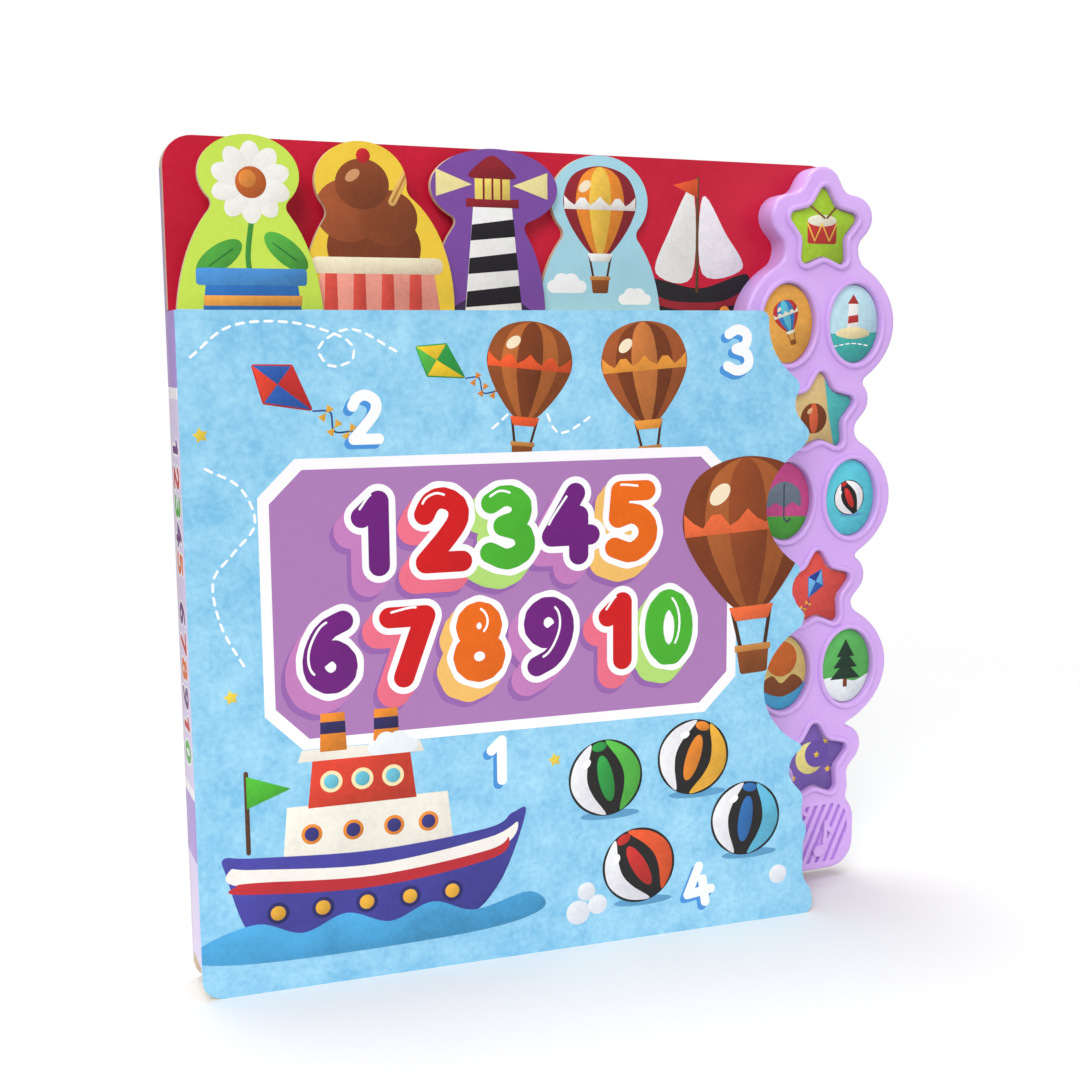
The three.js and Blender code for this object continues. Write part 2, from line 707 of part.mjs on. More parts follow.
// Button cells side by side in the bay, turned end for end so that they join in series
const cellX = (index) => bayX + (index - (cellCount - 1) / 2) * cellPitch;

function batteryParts() {
  const cells = Array.from({ length: cellCount }, (_, index) => {
    const capFirst = index % 2 === 0;
    const profile = [[0, 0], [cellCapRadius, 0], [cellCapRadius, cellCapHeight],
      [cellRadius, cellCapHeight], [cellRadius, cellHeight], [0, cellHeight]];
    const placed = profile.map(([r, y]) => [r, capFirst ? cellFront + y : cellBack - y]);
    return piece(`button_cell_${index + 1}`, turned(placed, cellX(index), bayZ, 18), steelFinish);
  });
  const contact = (name, x0, x1, y) => piece(name,
    block(x0, x1, y, y + contactThickness, bayZ - contactHeight / 2, bayZ + contactHeight / 2), steelFinish);
  const half = contactHeight / 2;
  const frontY = circuitBack + contactThickness / 2;
  const doorY = cellBack + contactThickness / 2;
  return [
    ...cells,
    contact('battery_contact_plus', cellX(0) - half, cellX(0) + half, frontY),
    contact('battery_bridge_front', cellX(1) - half, cellX(cellCount - 1) + half, frontY),
    contact('battery_bridge_door', cellX(0) - half, cellX(1) + half, doorY),
    contact('battery_contact_minus', cellX(cellCount - 1) - half, cellX(cellCount - 1) + half, doorY),
  ];
}

// Battery door, flush in its recess, with a finger notch and its screw
function batteryDoor() {
  const loop = boxLoop(recess.x0 + doorClearance, recess.x1 - doorClearance,
    recess.z0 + doorClearance, recess.z1 - doorClearance, 1.5, 2);
  const hole = join(rod(doorScrewX, bayZ, screwRadius + boreClearance, doorFront - 1, doorBack + 1, 8),
    rod(doorScrewX, bayZ, screwHeadRadius + boreClearance, doorBack - screwHeadHeight, doorBack + 1));
  const notch = block(recess.x0 - 1, recess.x0 + doorClearance + 1.2, doorBack - doorThickness / 2, doorBack + 1,
    bayZ - 4, bayZ + 4);
  return [
    piece('battery_door', cut(plate(loop, doorFront, doorBack), hole, notch), housingPlastic),
    screw('battery_door_screw', doorScrewX, bayZ, doorBack),
  ];
}

// Loudspeaker behind the grille
function speakerParts() {
  const gasketFront = faceBack + glueLine;
  const frameFront = gasketFront + gasketThickness + glueLine;
  const basketFront = frameFront + speakerFlange;
  const basketBack = basketFront + basketDepth;
  const inner = speakerRadius - speakerRim;
  const gasket = turned([[inner, gasketFront], [speakerRadius, gasketFront],
    [speakerRadius, gasketFront + gasketThickness], [inner, gasketFront + gasketThickness]], grilleX, speakerZ);
  const basket = turned([[inner, frameFront], [speakerRadius, frameFront], [speakerRadius, basketFront],
    [inner, basketFront], [magnetRadius + basketWall, basketBack], [0, basketBack],
    [0, basketBack - basketWall], [magnetRadius, basketBack - basketWall],
    [inner - basketWall, basketFront]], grilleX, speakerZ);
  const cone = turned([[0, frameFront + 1.2], [2.5, frameFront + 0.9], [inner - 1, frameFront + 0.2],
    [inner - 0.3, frameFront + 0.2], [inner - 1, frameFront + 0.6], [2.5, frameFront + 1.4],
    [0, frameFront + 1.7]], grilleX, speakerZ);
  const magnet = rod(grilleX, speakerZ, magnetRadius, basketBack + glueLine,
    basketBack + glueLine + magnetHeight, 18);
  return [
    piece('speaker_gasket', gasket, foamFinish),
    piece('speaker_basket', basket, steelFinish),
    piece('speaker_cone', cone, paperConeFinish),
    piece('speaker_magnet', magnet, steelFinish),
  ];
}

// Leads from the circuit board to the speaker, behind both
function speakerLeads() {
  const start = circuitBack + wireRadius + glueLine;
  return [-1, 1].map((side) => {
    const x = grilleX + side * (magnetRadius + 2.2);
    const path = [[columnX + side * 8, start, circuitBottom + 4], [columnX + side * 8, start, circuitBottom - 3],
      [x, start, speakerZ + 8], [x, start, speakerZ + 3]];
    return piece(side < 0 ? 'speaker_lead_red' : 'speaker_lead_black', wire(path),
      side < 0 ? redWire : blackWire);
  });
}

const book = new THREE.Group();
book.add(
  frontCover(), spineStrip(), pageBlock(), ...backBoards(), housingFront(), housingBackPlate(),
  ...housingScrews(), ...buttons(), ...circuitParts(), ...batteryParts(), ...batteryDoor(),
  ...speakerParts(), ...speakerLeads(),
);

// The origin is under the middle of the book's box, on the surface that it stands on.
const box = new THREE.Box3().setFromObject(book, true);
const middle = box.getCenter(new THREE.Vector3());
book.position.set(-middle.x, -middle.y, -box.min.z);

export default book;
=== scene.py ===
import json
import math
import bmesh
import bpy
import numpy as np
from mathutils import Matrix, Vector
from mathutils.geometry import delaunay_2d_cdt


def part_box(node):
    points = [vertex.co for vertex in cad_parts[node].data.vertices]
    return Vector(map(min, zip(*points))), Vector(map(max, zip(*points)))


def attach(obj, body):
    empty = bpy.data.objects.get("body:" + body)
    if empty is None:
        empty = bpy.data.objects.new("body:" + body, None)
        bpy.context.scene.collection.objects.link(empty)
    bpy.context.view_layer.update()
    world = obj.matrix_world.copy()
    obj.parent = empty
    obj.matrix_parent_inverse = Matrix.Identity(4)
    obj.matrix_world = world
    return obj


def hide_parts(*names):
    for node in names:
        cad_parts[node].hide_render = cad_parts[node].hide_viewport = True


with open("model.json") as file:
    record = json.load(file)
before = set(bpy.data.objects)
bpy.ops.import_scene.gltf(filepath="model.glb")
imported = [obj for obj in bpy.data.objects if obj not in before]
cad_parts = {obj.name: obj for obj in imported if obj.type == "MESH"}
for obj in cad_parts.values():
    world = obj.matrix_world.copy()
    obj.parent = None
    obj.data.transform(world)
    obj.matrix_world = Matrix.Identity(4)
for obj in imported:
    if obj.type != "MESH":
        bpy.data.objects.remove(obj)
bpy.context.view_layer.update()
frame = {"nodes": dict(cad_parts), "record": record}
print("frame loaded:", len(frame["nodes"]), "nodes")

# Sizes are in millimetres in the book's own axes: x from the fold, y from the closed front cover's
# face, z from the bottom edge. The frame gives where that corner lies.
book = {
    "coverHeight": 212.7, "board": 2.3, "leaf": 2.3, "leafPitch": 2.43, "open": 4.25,
    "bottomRound": 6.5, "topRound": 9, "cardFoot": 10, "foreRound": 3, "foreX": 212.7, "foreGap": 0.45,
    "leafX": 1.1, "binding": 5, "spineGap": 0.2, "margin": 1.2, "depth": 19.15, "tabNotch": 3,
    "tabRoot": 10, "printEdge": 0.05, "foldReach": 2,
}
tabs = [
    {"head": (23.5, 252.3, 15, 11.5), "body": (23, 205, 22.2, 43)},
    {"head": (58.2, 251.5, 14.5, 12.3), "body": (63.5, 214, 24.3, 37)},
    {"head": (102.9, 251.6, 21.6, 12.2), "body": (100.5, 212, 19.5, 34)},
    {"head": (141, 249, 17.6, 14.8), "body": (141, 208, 22.6, 36)},
]
housing = {
    "x": 224.1, "wall": 1.8, "edgeRound": 1.6, "notchRound": 3.8, "shellNotch": 0.75, "rimWidth": 2.05,
    "proud": 9.4, "seat": 3.2, "starTip": 16.4, "starValley": 9.3, "tipRound": 2.2, "valleyRound": 5,
    "starPitch": 64.1, "lowestStar": 49.1, "starBorder": 6.9, "waistPinch": 0.95, "lobeTipRound": 7.5,
    "lobeValleyRound": 5, "ovalWidth": 10.8,
    "ovalHeight": 14, "ovalPitch": 62.5, "lowestOval": 83.7, "ovalSpread": 13.8, "borderX": 6.6,
    "borderZ": 10.5, "grilleX": 225.9, "grilleHalf": 16.7, "grilleBottom": 6.6, "grilleTop": 35,
    "grilleRound": 10,
}
mm = 0.001
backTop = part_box("back_cover")[1]
bookCorner = np.array([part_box("spine_strip")[0].x, backTop.y - book["depth"] * mm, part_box("back_cover")[0].z])
leafFront = [book["leafPitch"] * (index + 1) for index in range(5)]
faceFront = leafFront[4] - housing["proud"]
faceBack = faceFront + housing["wall"]

# Camera: fitted to the photo, with its place given from the book's corner
eye = {"place": (-58.97, -420.3, 200.8), "yaw": 22.43, "pitch": -7.82, "roll": -0.43, "lens": 46.52}


def makeCamera():
    yaw, pitch, roll = (math.radians(eye[key]) for key in ("yaw", "pitch", "roll"))
    forward = np.array([math.sin(yaw) * math.cos(pitch), math.cos(yaw) * math.cos(pitch), math.sin(pitch)])
    level = np.array([math.cos(yaw), -math.sin(yaw), 0])
    upright = np.cross(level, forward)
    right = level * math.cos(roll) + upright * math.sin(roll)
    up = upright * math.cos(roll) - level * math.sin(roll)
    data = bpy.data.cameras.new("camera")
    data.sensor_width = 36
    data.lens = eye["lens"]
    camera = bpy.data.objects.new("camera", data)
    bpy.context.collection.objects.link(camera)
    place = bookCorner + np.array(eye["place"]) * mm
    rows = [[right[i], up[i], -forward[i], place[i]] for i in range(3)]
    camera.matrix_world = Matrix(rows + [[0, 0, 0, 1]])
    bpy.context.scene.camera = camera


makeCamera()


# Shader maths: a socket that Python's operators turn into Math nodes
class Wire:
    def __init__(self, finish, socket):
        self.finish = finish
        self.socket = socket

    def calc(self, operation, first, second):
        node = self.finish.node("ShaderNodeMath", {"operation": operation}, {0: first, 1: second})
        return Wire(self.finish, node.outputs[0])

    def __add__(self, other):
        return self.calc("ADD", self, other)

    def __radd__(self, other):
        return self.calc("ADD", other, self)

    def __sub__(self, other):
        return self.calc("SUBTRACT", self, other)

    def __rsub__(self, other):
        return self.calc("SUBTRACT", other, self)

    def __mul__(self, other):
        return self.calc("MULTIPLY", self, other)

    def __gt__(self, other):
        return self.calc("GREATER_THAN", self, other)

    def __lt__(self, other):
        return self.calc("LESS_THAN", self, other)


def toLinear(code, gain=1.0):
    parts = [int(code[i:i + 2], 16) / 255 for i in (0, 2, 4)]
    linear = [part / 12.92 if part <= 0.04045 else ((part + 0.055) / 1.055) ** 2.4 for part in parts]
    return [min(part * gain, 1.0) for part in linear] + [1.0]


class Finish:
    def __init__(self, name, roughness=0.5, metallic=0.0, shine=0.5):
        self.material = bpy.data.materials.new(name)
        self.material.use_nodes = True
        self.tree = self.material.node_tree
        self.shader = self.tree.nodes["Principled BSDF"]
        self.shader.inputs["Roughness"].default_value = roughness
        self.shader.inputs["Metallic"].default_value = metallic
        self.shader.inputs["Specular IOR Level"].default_value = shine

    def node(self, kind, settings=None, sockets=None):
        made = self.tree.nodes.new(kind)
        for key, value in (settings or {}).items():
            setattr(made, key, value)
        for key, value in (sockets or {}).items():
            self.join(value, made.inputs[key])
        return made

    def join(self, value, socket):
        value = value.socket if isinstance(value, Wire) else value
        if isinstance(value, bpy.types.NodeSocket):
            self.tree.links.new(value, socket)
        else:
            socket.default_value = value

    def coordinates(self, stretch=(1, 1, 1)):
        place = self.node("ShaderNodeTexCoord").outputs["Object"]
        return self.node("ShaderNodeMapping", None, {"Vector": place, "Scale": stretch}).outputs[0]

    def noise(self, scale, detail=4.0, stretch=(1, 1, 1), rough=0.55):
        made = self.node("ShaderNodeTexNoise", None, {
            "Vector": self.coordinates(stretch), "Scale": scale, "Detail": detail, "Roughness": rough})
        return Wire(self, made.outputs["Fac"])

    def mix(self, factor, first, second):
        made = self.node("ShaderNodeMix", {"data_type": "RGBA", "clamp_factor": True})
        for key, value in ((0, factor), (6, first), (7, second)):
            self.join(value, made.inputs[key])
        return made.outputs[2]

    def colour(self, value):
        self.join(value, self.shader.inputs["Base Color"])
        return self

    def rough(self, value):
        self.join(value, self.shader.inputs["Roughness"])
        return self

    def bump(self, height, strength=0.2, distance=0.0002):
        made = self.node("ShaderNodeBump", None, {
            "Height": height, "Strength": strength, "Distance": distance})
        self.join(made.outputs[0], self.shader.inputs["Normal"])
        return self


print("camera and shader kit ready")

# Printed colours: each is a wash from a deeper to a lighter tone across its shape, with a mottle
wash = {"shadow": 0.62, "light": 1.22, "mottle": 0.5, "blot": 75, "grain": 650, "roughness": 0.4}
washes = {}


def paint(code, depth=1.0, mottle=None):
    key = (code, depth, mottle)
    if key in washes:
        return washes[key]
    number = "" if key[1:] == (1.0, None) else f"_{len(washes)}"
    made = Finish("print_" + code + number, wash["roughness"], shine=0.3)
    shade = Wire(made, made.node("ShaderNodeAttribute", {"attribute_name": "shade"}).outputs["Fac"])
    spread = wash["mottle"] if mottle is None else mottle
    blot = made.noise(wash["blot"], 5.0) - 0.5
    grain = made.noise(wash["grain"], 3.0) - 0.5
    factor = 0.5 + (shade - 0.5) * depth + blot * spread * 2 + grain * spread
    deep = toLinear(code, 1 - (1 - wash["shadow"]) * depth)
    pale = toLinear(code, 1 + (wash["light"] - 1) * depth)
    made.colour(made.mix(factor, deep, pale))
    made.rough(wash["roughness"] + grain * 0.12)
    made.bump(made.noise(1800, 2.0), 0.06, 0.0001)
    washes[key] = made.material
    return made.material


# The sky ground of the covers: two blues that drift over large soft blots
def skyPrint():
    made = Finish("sky_print", 0.38, shine=0.3)
    cloud = made.noise(26, 6.0, rough=0.6)
    blot = made.noise(95, 6.0, rough=0.65)
    speck = made.noise(520, 4.0)
    factor = 0.45 + (cloud - 0.5) * 1.1 + (blot - 0.5) * 1.9 + (speck - 0.5) * 1.3
    made.colour(made.mix(factor, toLinear("7CC1E7"), toLinear("ABE0F8")))
    made.rough(0.34 + speck * 0.1)
    made.bump(made.noise(1500, 2.0), 0.05, 0.0001)
    return made.material


# Bare cut board: warm grey-cream with fibres that run along the sheet
def cutBoard(name="cut_board", dark="C9B48E", light="F1E6CE"):
    made = Finish(name, 0.75)
    fibre = made.noise(260, 5.0, (1, 9, 1))
    ply = made.noise(90, 2.0, (0.3, 30, 0.3))
    made.colour(made.mix((fibre * 0.6 + ply * 0.7 - 0.15), toLinear(dark), toLinear(light)))
    made.bump(fibre, 0.25, 0.0002)
    return made.material


def redBoard():
    made = Finish("red_print", 0.36, shine=0.25)
    cloth = made.noise(35, 6.0)
    speck = made.noise(520, 3.0)
    factor = (cloth - 0.3) * 1.1 + (speck - 0.5) * 0.6
    made.colour(made.mix(factor, toLinear("C21131"), toLinear("DA2244")))
    made.rough(0.3 + speck * 0.12)
    made.bump(made.noise(300, 3.0), 0.05, 0.0002)
    return made.material


def mouldedPlastic(name, code, roughness=0.3):
    made = Finish(name, roughness)
    peel = made.noise(700, 2.0)
    tone = made.noise(18, 2.0)
    made.colour(made.mix(tone, toLinear(code, 0.96), toLinear(code, 1.04)))
    made.rough(roughness - 0.04 + peel * 0.1)
    made.bump(peel, 0.05, 0.0001)
    return made.material


# Spine: pale lilac with a white bar at each end of the title, and deeper lilac beyond the bars
spineBands = {
    "foot": (44.0, 64.0), "head": 190.0, "bar": 3.4, "deep": "B494DC", "pale": "E6D8F7", "light": "FBF8FF",
}


def spinePrint():
    made = Finish("spine_print", 0.4)
    place = made.node("ShaderNodeTexCoord").outputs["Object"]
    high = Wire(made, made.node("ShaderNodeSeparateXYZ", None, {0: place}).outputs["Z"])
    start, low, top = (bookCorner[2] + height * mm for height in (*spineBands["foot"], spineBands["head"]))
    bar = spineBands["bar"] * mm
    deep = (high > start) * (high < low) + (high > top)
    bars = (high > low) * (high < low + bar) + (high > top - bar) * (high < top)
    speck = made.noise(500, 3.0)
    pale = made.mix(speck, toLinear(spineBands["pale"], 0.96), toLinear(spineBands["pale"]))
    ground = made.mix(deep, pale, toLinear(spineBands["deep"]))
    made.colour(made.mix(bars, ground, toLinear(spineBands["light"])))
    made.rough(0.36 + speck * 0.1)
    return made.material


def plainMetal(name, code, roughness):
    made = Finish(name, roughness, 1.0)
    brushed = made.noise(300, 3.0, (1, 1, 20))
    made.colour(made.mix(brushed, toLinear(code, 0.85), toLinear(code, 1.05)))
    made.rough(roughness + (brushed - 0.5) * 0.2)
    return made.material


sky = skyPrint()
cut = cutBoard()
red = redBoard()
lilacPlastic = mouldedPlastic("lilac_plastic", "D9AEF5", 0.3)
spineInk = spinePrint()
print("finishes ready")


# Outlines are arrays of [x, z] points. Each corner of a loop becomes an arc: centre plus the start
# radius turned through equal angles.
def roundedLoop(corners, radii, steps=8):
    here = np.array(corners, float)
    before = np.roll(here, 1, axis=0) - here
    after = np.roll(here, -1, axis=0) - here
    before /= np.linalg.norm(before, axis=1, keepdims=True)
    after /= np.linalg.norm(after, axis=1, keepdims=True)
    half = np.arccos(np.clip((before * after).sum(1), -1, 1)) / 2
    bisector = before + after
    bisector /= np.maximum(np.linalg.norm(bisector, axis=1, keepdims=True), 1e-9)
    radius = np.maximum(np.array(radii, float), 1e-3)[:, None]
    centre = here + bisector * radius / np.sin(half)[:, None]
    start = here + before * radius / np.tan(half)[:, None] - centre
    side = np.sign(before[:, 0] * after[:, 1] - before[:, 1] * after[:, 0])
    angle = (side * (math.pi - 2 * half))[:, None] * np.linspace(0, 1, steps + 1)
    x = centre[:, :1] + start[:, :1] * np.cos(angle) + start[:, 1:] * np.sin(angle)
    z = centre[:, 1:] - start[:, :1] * np.sin(angle) + start[:, 1:] * np.cos(angle)
    loop = np.stack([x, z], axis=-1).reshape(-1, 2)
    return loop[np.linalg.norm(loop - np.roll(loop, 1, axis=0), axis=1) > 0.01]


def starEdge(tip, valley):
    across, along = valley * math.sin(math.radians(36)), tip - valley * math.cos(math.radians(36))
    return tip * across / math.hypot(across, along)


# A star of ten corners on two circles, grown so that each edge moves out by the same distance
def starLoop(x, z, grow=0.0, tip=None, valley=None, tipRound=None, valleyRound=None, steps=8):
    tip = tip or housing["starTip"]
    valley = valley or housing["starValley"]
    scale = 1 + grow / starEdge(tip, valley)
    angle = np.radians(36 * np.arange(10))
    radius = np.where(np.arange(10) % 2 == 0, tip, valley) * scale
    corners = np.stack([x + radius * np.sin(angle), z + radius * np.cos(angle)], axis=1)
    tipRound = (tipRound or housing["tipRound"]) + grow
    valleyRound = max((valleyRound or housing["valleyRound"]) - grow, 0.5)
    loop = roundedLoop(corners, np.where(np.arange(10) % 2 == 0, tipRound, valleyRound), steps)
    return np.roll(loop, -(steps // 2), axis=0)


def ovalLoop(x, z, halfWidth, halfHeight, count=64):
    angle = np.linspace(0, 2 * math.pi, count, endpoint=False)
    return np.stack([x + halfWidth * np.sin(angle), z + halfHeight * np.cos(angle)], axis=1)


# Which points lie inside a loop, by counting the edges that a level ray crosses
def inside(points, loop):
    a, b = loop, np.roll(loop, 1, axis=0)
    x, z = points[:, :1], points[:, 1:]
    spans = (a[:, 1] > z) != (b[:, 1] > z)
    rise = np.where(b[:, 1] == a[:, 1], 1e-9, b[:, 1] - a[:, 1])
    crossed = spans & (x < a[:, 0] + (z - a[:, 1]) * (b[:, 0] - a[:, 0]) / rise)
    return crossed.sum(1) % 2 == 1


def lineCrossing(a, b, c, d):
    u, v = b - a, d - c
    along = ((c[0] - a[0]) * v[1] - (c[1] - a[1]) * v[0]) / (u[0] * v[1] - u[1] * v[0])
    return a + u * along


# One side of a column of overlapping lobes from the top down, each notch rounded by a parabola
def columnSide(lobes, side, roundBy):
    chain = None
    for index, (x, loop) in enumerate(lobes):
        ordered = loop if side > 0 else np.concatenate([loop[:1], loop[:0:-1]])
        half = ordered[(ordered[:, 0] - x) * side > -1e-6]
        others = [other for place, (_, other) in enumerate(lobes) if place != index]
        free = np.flatnonzero(~np.any([inside(half, other) for other in others], axis=0))
        first, last = free[0], free[-1]
        run = half[first:last + 1]
        if chain is None:
            chain = run
        else:
            notch = lineCrossing(end, beyond, half[first], half[first - 1])
            chain = chain[:np.flatnonzero(np.linalg.norm(chain - notch, axis=1) >= roundBy)[-1] + 1]
            run = run[np.flatnonzero(np.linalg.norm(run - notch, axis=1) >= roundBy)[0]:]
            t = np.linspace(0, 1, 8)[1:-1, None]
            curve = chain[-1] * (1 - t) ** 2 + notch * 2 * t * (1 - t) + run[0] * t ** 2
            chain = np.concatenate([chain, curve, run])
        end, beyond = half[last], half[min(last + 1, len(half) - 1)]
    return chain


def columnLoop(lobes, roundBy):
    right, left = (columnSide(lobes, side, roundBy) for side in (1, -1))
    return np.concatenate([right, left[1:-1][::-1]])


# A loop moved out along its own normals; the share along each keeps parallel edges parallel
def offsetLoop(loop, amount):
    back, ahead = loop - np.roll(loop, 1, axis=0), np.roll(loop, -1, axis=0) - loop
    first = np.stack([-back[:, 1], back[:, 0]], 1) / np.linalg.norm(back, axis=1, keepdims=True)
    second = np.stack([-ahead[:, 1], ahead[:, 0]], 1) / np.linalg.norm(ahead, axis=1, keepdims=True)
    return loop + (first + second) * amount / (1 + (first * second).sum(1, keepdims=True))


starHeights = [housing["lowestStar"] + housing["starPitch"] * i for i in range(4)]
ovalHeights = [housing["lowestOval"] + housing["ovalPitch"] * i for i in range(3)]


def housingLobes(grow=0.0):
    scale = 1 + housing["starBorder"] / starEdge(housing["starTip"], housing["starValley"])
    valley = housing["starValley"] * scale - housing["waistPinch"]
    star = {"tip": housing["starTip"] * scale, "valley": valley, "tipRound": housing["lobeTipRound"],
            "valleyRound": housing["lobeValleyRound"]}
    wide = housing["ovalSpread"] + housing["ovalWidth"] + housing["borderX"] + grow
    high = housing["ovalHeight"] + housing["borderZ"] + grow
    lobes = [(z, housing["x"], starLoop(housing["x"], z, grow, **star)) for z in starHeights]
    lobes += [(z, housing["x"], ovalLoop(housing["x"], z, wide, high, 96)) for z in ovalHeights]
    x, half = housing["grilleX"], housing["grilleHalf"] + grow
    top, foot = housing["grilleTop"] + grow, housing["grilleBottom"] - grow
    bend = housing["grilleRound"] + grow
    corners = [(x, top), (x + half, top), (x + half, foot), (x, foot), (x - half, foot), (x - half, top)]
    lobes.append((0, x, roundedLoop(corners, [0, bend, bend, 0, bend, bend])))
    return [lobe[1:] for lobe in sorted(lobes, key=lambda lobe: -lobe[0])]


housingLoop = columnLoop(housingLobes(), housing["notchRound"] * housing["shellNotch"])
marginSide = columnSide(housingLobes(book["margin"]), 1, housing["notchRound"])


def leafOutline(left):
    edge = columnSide(housingLobes(book["foreGap"]), -1, housing["notchRound"])
    keep = (edge[:, 1] < book["coverHeight"] - book["foreRound"]) & (edge[:, 0] < book["foreX"])
    edge = edge[keep & (edge[:, 1] > housing["grilleBottom"])]
    foot = [(book["foreX"], edge[-1, 1] - book["foreRound"]), (book["foreX"], 0), (left, 0)]
    corners = np.concatenate([[(left, book["coverHeight"]), (edge[0, 0], book["coverHeight"])], edge, foot])
    radii = [0, book["foreRound"]] + [0] * (len(edge) + 1) + [book["foreRound"], book["bottomRound"]]
    return roundedLoop(corners, radii)


def tabOutline(tab):
    return columnLoop([(tab[key][0], ovalLoop(*tab[key])) for key in ("head", "body")], book["tabNotch"])


def backOutline(left):
    top, foot, step = marginSide[0, 1], marginSide[-1, 1], book["coverHeight"] + book["spineGap"]
    tail = [(book["foreX"], foot), (book["foreX"], 0), (left, 0)]
    radii = [0] * (len(marginSide) + 1) + [book["foreRound"], book["bottomRound"]]
    if left > 0:
        tail += [(left, step), (0, step)]
        radii += [0, 0]
    return roundedLoop(np.concatenate([marginSide, tail, [(0, top)]]), radii + [book["topRound"]])


def turnedLeft(loop):
    ahead = np.roll(loop, -1, axis=0)
    area = (loop[:, 0] * ahead[:, 1] - ahead[:, 0] * loop[:, 1]).sum()
    return loop if area > 0 else loop[::-1]


# Flat shapes: the union of some loops less some holes, kept within a mask of loops if there is one,
# and cut into triangles.
def flatUnion(loops, holes=(), mask=()):
    every = [turnedLeft(np.asarray(loop, float)) for loop in (*loops, *holes, *mask)]
    sizes = np.cumsum([0] + [len(loop) for loop in every])
    faces = [list(range(sizes[i], sizes[i + 1])) for i in range(len(every))]
    points, _, triangles, _, _, origins = delaunay_2d_cdt(np.concatenate(every).tolist(), [], faces, 1, 1e-5)
    shapes, closed = len(loops), len(loops) + len(holes)
    kept = [face for face, origin in zip(triangles, origins)
            if origin and min(origin) < shapes and not any(shapes <= index < closed for index in origin)
            and (not mask or max(origin) >= closed)]
    points, kept = np.array(points), np.array(kept, int).reshape(-1, 3)
    a, b, c = (points[kept[:, i]] for i in range(3))
    turn = (b[:, 0] - a[:, 0]) * (c[:, 1] - a[:, 1]) - (b[:, 1] - a[:, 1]) * (c[:, 0] - a[:, 0])
    kept[turn < 0] = kept[turn < 0][:, ::-1]
    used, places = np.unique(kept, return_inverse=True)
    return points[used], places.reshape(-1, 3)


# The rim of a flat shape is every edge that only one triangle uses
def rimEdges(triangles):
    edges = np.concatenate([triangles[:, [0, 1]], triangles[:, [1, 2]], triangles[:, [2, 0]]])
    size = triangles.max() + 1
    forward, backward = edges[:, 0] * size + edges[:, 1], edges[:, 1] * size + edges[:, 0]
    return edges[~np.isin(forward, backward)]


# A mesh under way: points, faces, one material number for each face, and the wash value
class Build:
    def __init__(self):
        self.points, self.faces, self.slots, self.shades, self.count = [], [], [], [], 0

    def add(self, points, faces, slot, shade=None):
        points = np.asarray(points, float)
        self.points.append(points)
        self.faces += [[corner + self.count for corner in face] for face in np.asarray(faces).tolist()]
        self.slots += [slot] * len(faces) if np.isscalar(slot) else list(slot)
        self.shades.append(np.full(len(points), 0.5) if shade is None else shade)
        self.count += len(points)

    # A plate from the union of loops: front face, back face and the rim between them
    def slab(self, loops, front, back, slots=(0, 1, 2), holes=(), mask=(), tilt=True):
        flat, triangles = flatUnion(loops, holes, mask)
        if not len(triangles):
            return
        rim = rimEdges(triangles)
        size = len(flat)
        layers = [np.column_stack([flat[:, 0], np.full(size, depth), flat[:, 1]]) for depth in (front, back)]
        sides = np.column_stack([rim[:, 1], rim[:, 0], rim[:, 0] + size, rim[:, 1] + size])
        faces = triangles.tolist() + (triangles[:, ::-1] + size).tolist() + sides.tolist()
        numbers = [slots[0]] * len(triangles) + [slots[2]] * len(triangles) + [slots[1]] * len(sides)
        low, high = flat.min(0), flat.max(0)
        reach = (flat - low) / np.maximum(high - low, 1e-6)
        shade = 0.5 + 0.5 * (reach[:, 1] - reach[:, 0]) if tilt else np.full(size, 0.5)
        start = self.count
        self.points += layers
        self.faces += [[corner + start for corner in face] for face in faces]
        self.slots += numbers
        self.shades += [shade, shade]
        self.count += 2 * size

    # A profile of [grow, y] pairs carried along a loop that is worked out anew for each grow
    def sweep(self, loopAt, profile, slot):
        rings = [loopAt(grow) for grow, _ in profile]
        size, steps = len(rings[0]), len(profile)
        points = np.concatenate([np.column_stack([ring[:, 0], np.full(size, y), ring[:, 1]])
                                 for ring, (_, y) in zip(rings, profile)])
        ring, step = np.meshgrid(np.arange(size), np.arange(steps - 1))
        ahead = (ring + 1) % size
        faces = np.stack([step * size + ring, step * size + ahead, (step + 1) * size + ahead,
                          (step + 1) * size + ring], axis=-1).reshape(-1, 4)
        self.add(points, faces, slot)

    def object(self, name, materials, body, slotName, stands=(), turn=None, merge=False, crease=None):
        points = np.concatenate(self.points)
        points = turn(points) if turn else points
        mesh = bpy.data.meshes.new(name)
        mesh.from_pydata((points * mm + bookCorner).tolist(), [], self.faces)
        for material in materials:
            mesh.materials.append(material)
        mesh.polygons.foreach_set("material_index", np.array(self.slots, np.int32))
        shade = mesh.attributes.new("shade", "FLOAT", "POINT")
        shade.data.foreach_set("value", np.concatenate(self.shades).astype(np.float32))
        made = bpy.data.objects.new(name, mesh)
        bpy.context.collection.objects.link(made)
        if merge:
            mendMesh(mesh)
        if crease:
            mesh.polygons.foreach_set("use_smooth", np.ones(len(mesh.polygons), bool))
            mesh.set_sharp_from_angle(angle=math.radians(crease))
        mesh.update()
        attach(made, body)
        if stands:
            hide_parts(*stands)
        return made


def mendMesh(mesh):
    work = bmesh.new()
    work.from_mesh(mesh)
    bmesh.ops.remove_doubles(work, verts=work.verts, dist=2e-6)
    bmesh.ops.recalc_face_normals(work, faces=work.faces)
    work.to_mesh(mesh)
    work.free()


# A face that looks backwards is drawn as a front and then turned half round
def turnedRound(points):
    return np.column_stack([book["foreX"] - points[:, 0], -points[:, 1], points[:, 2]])


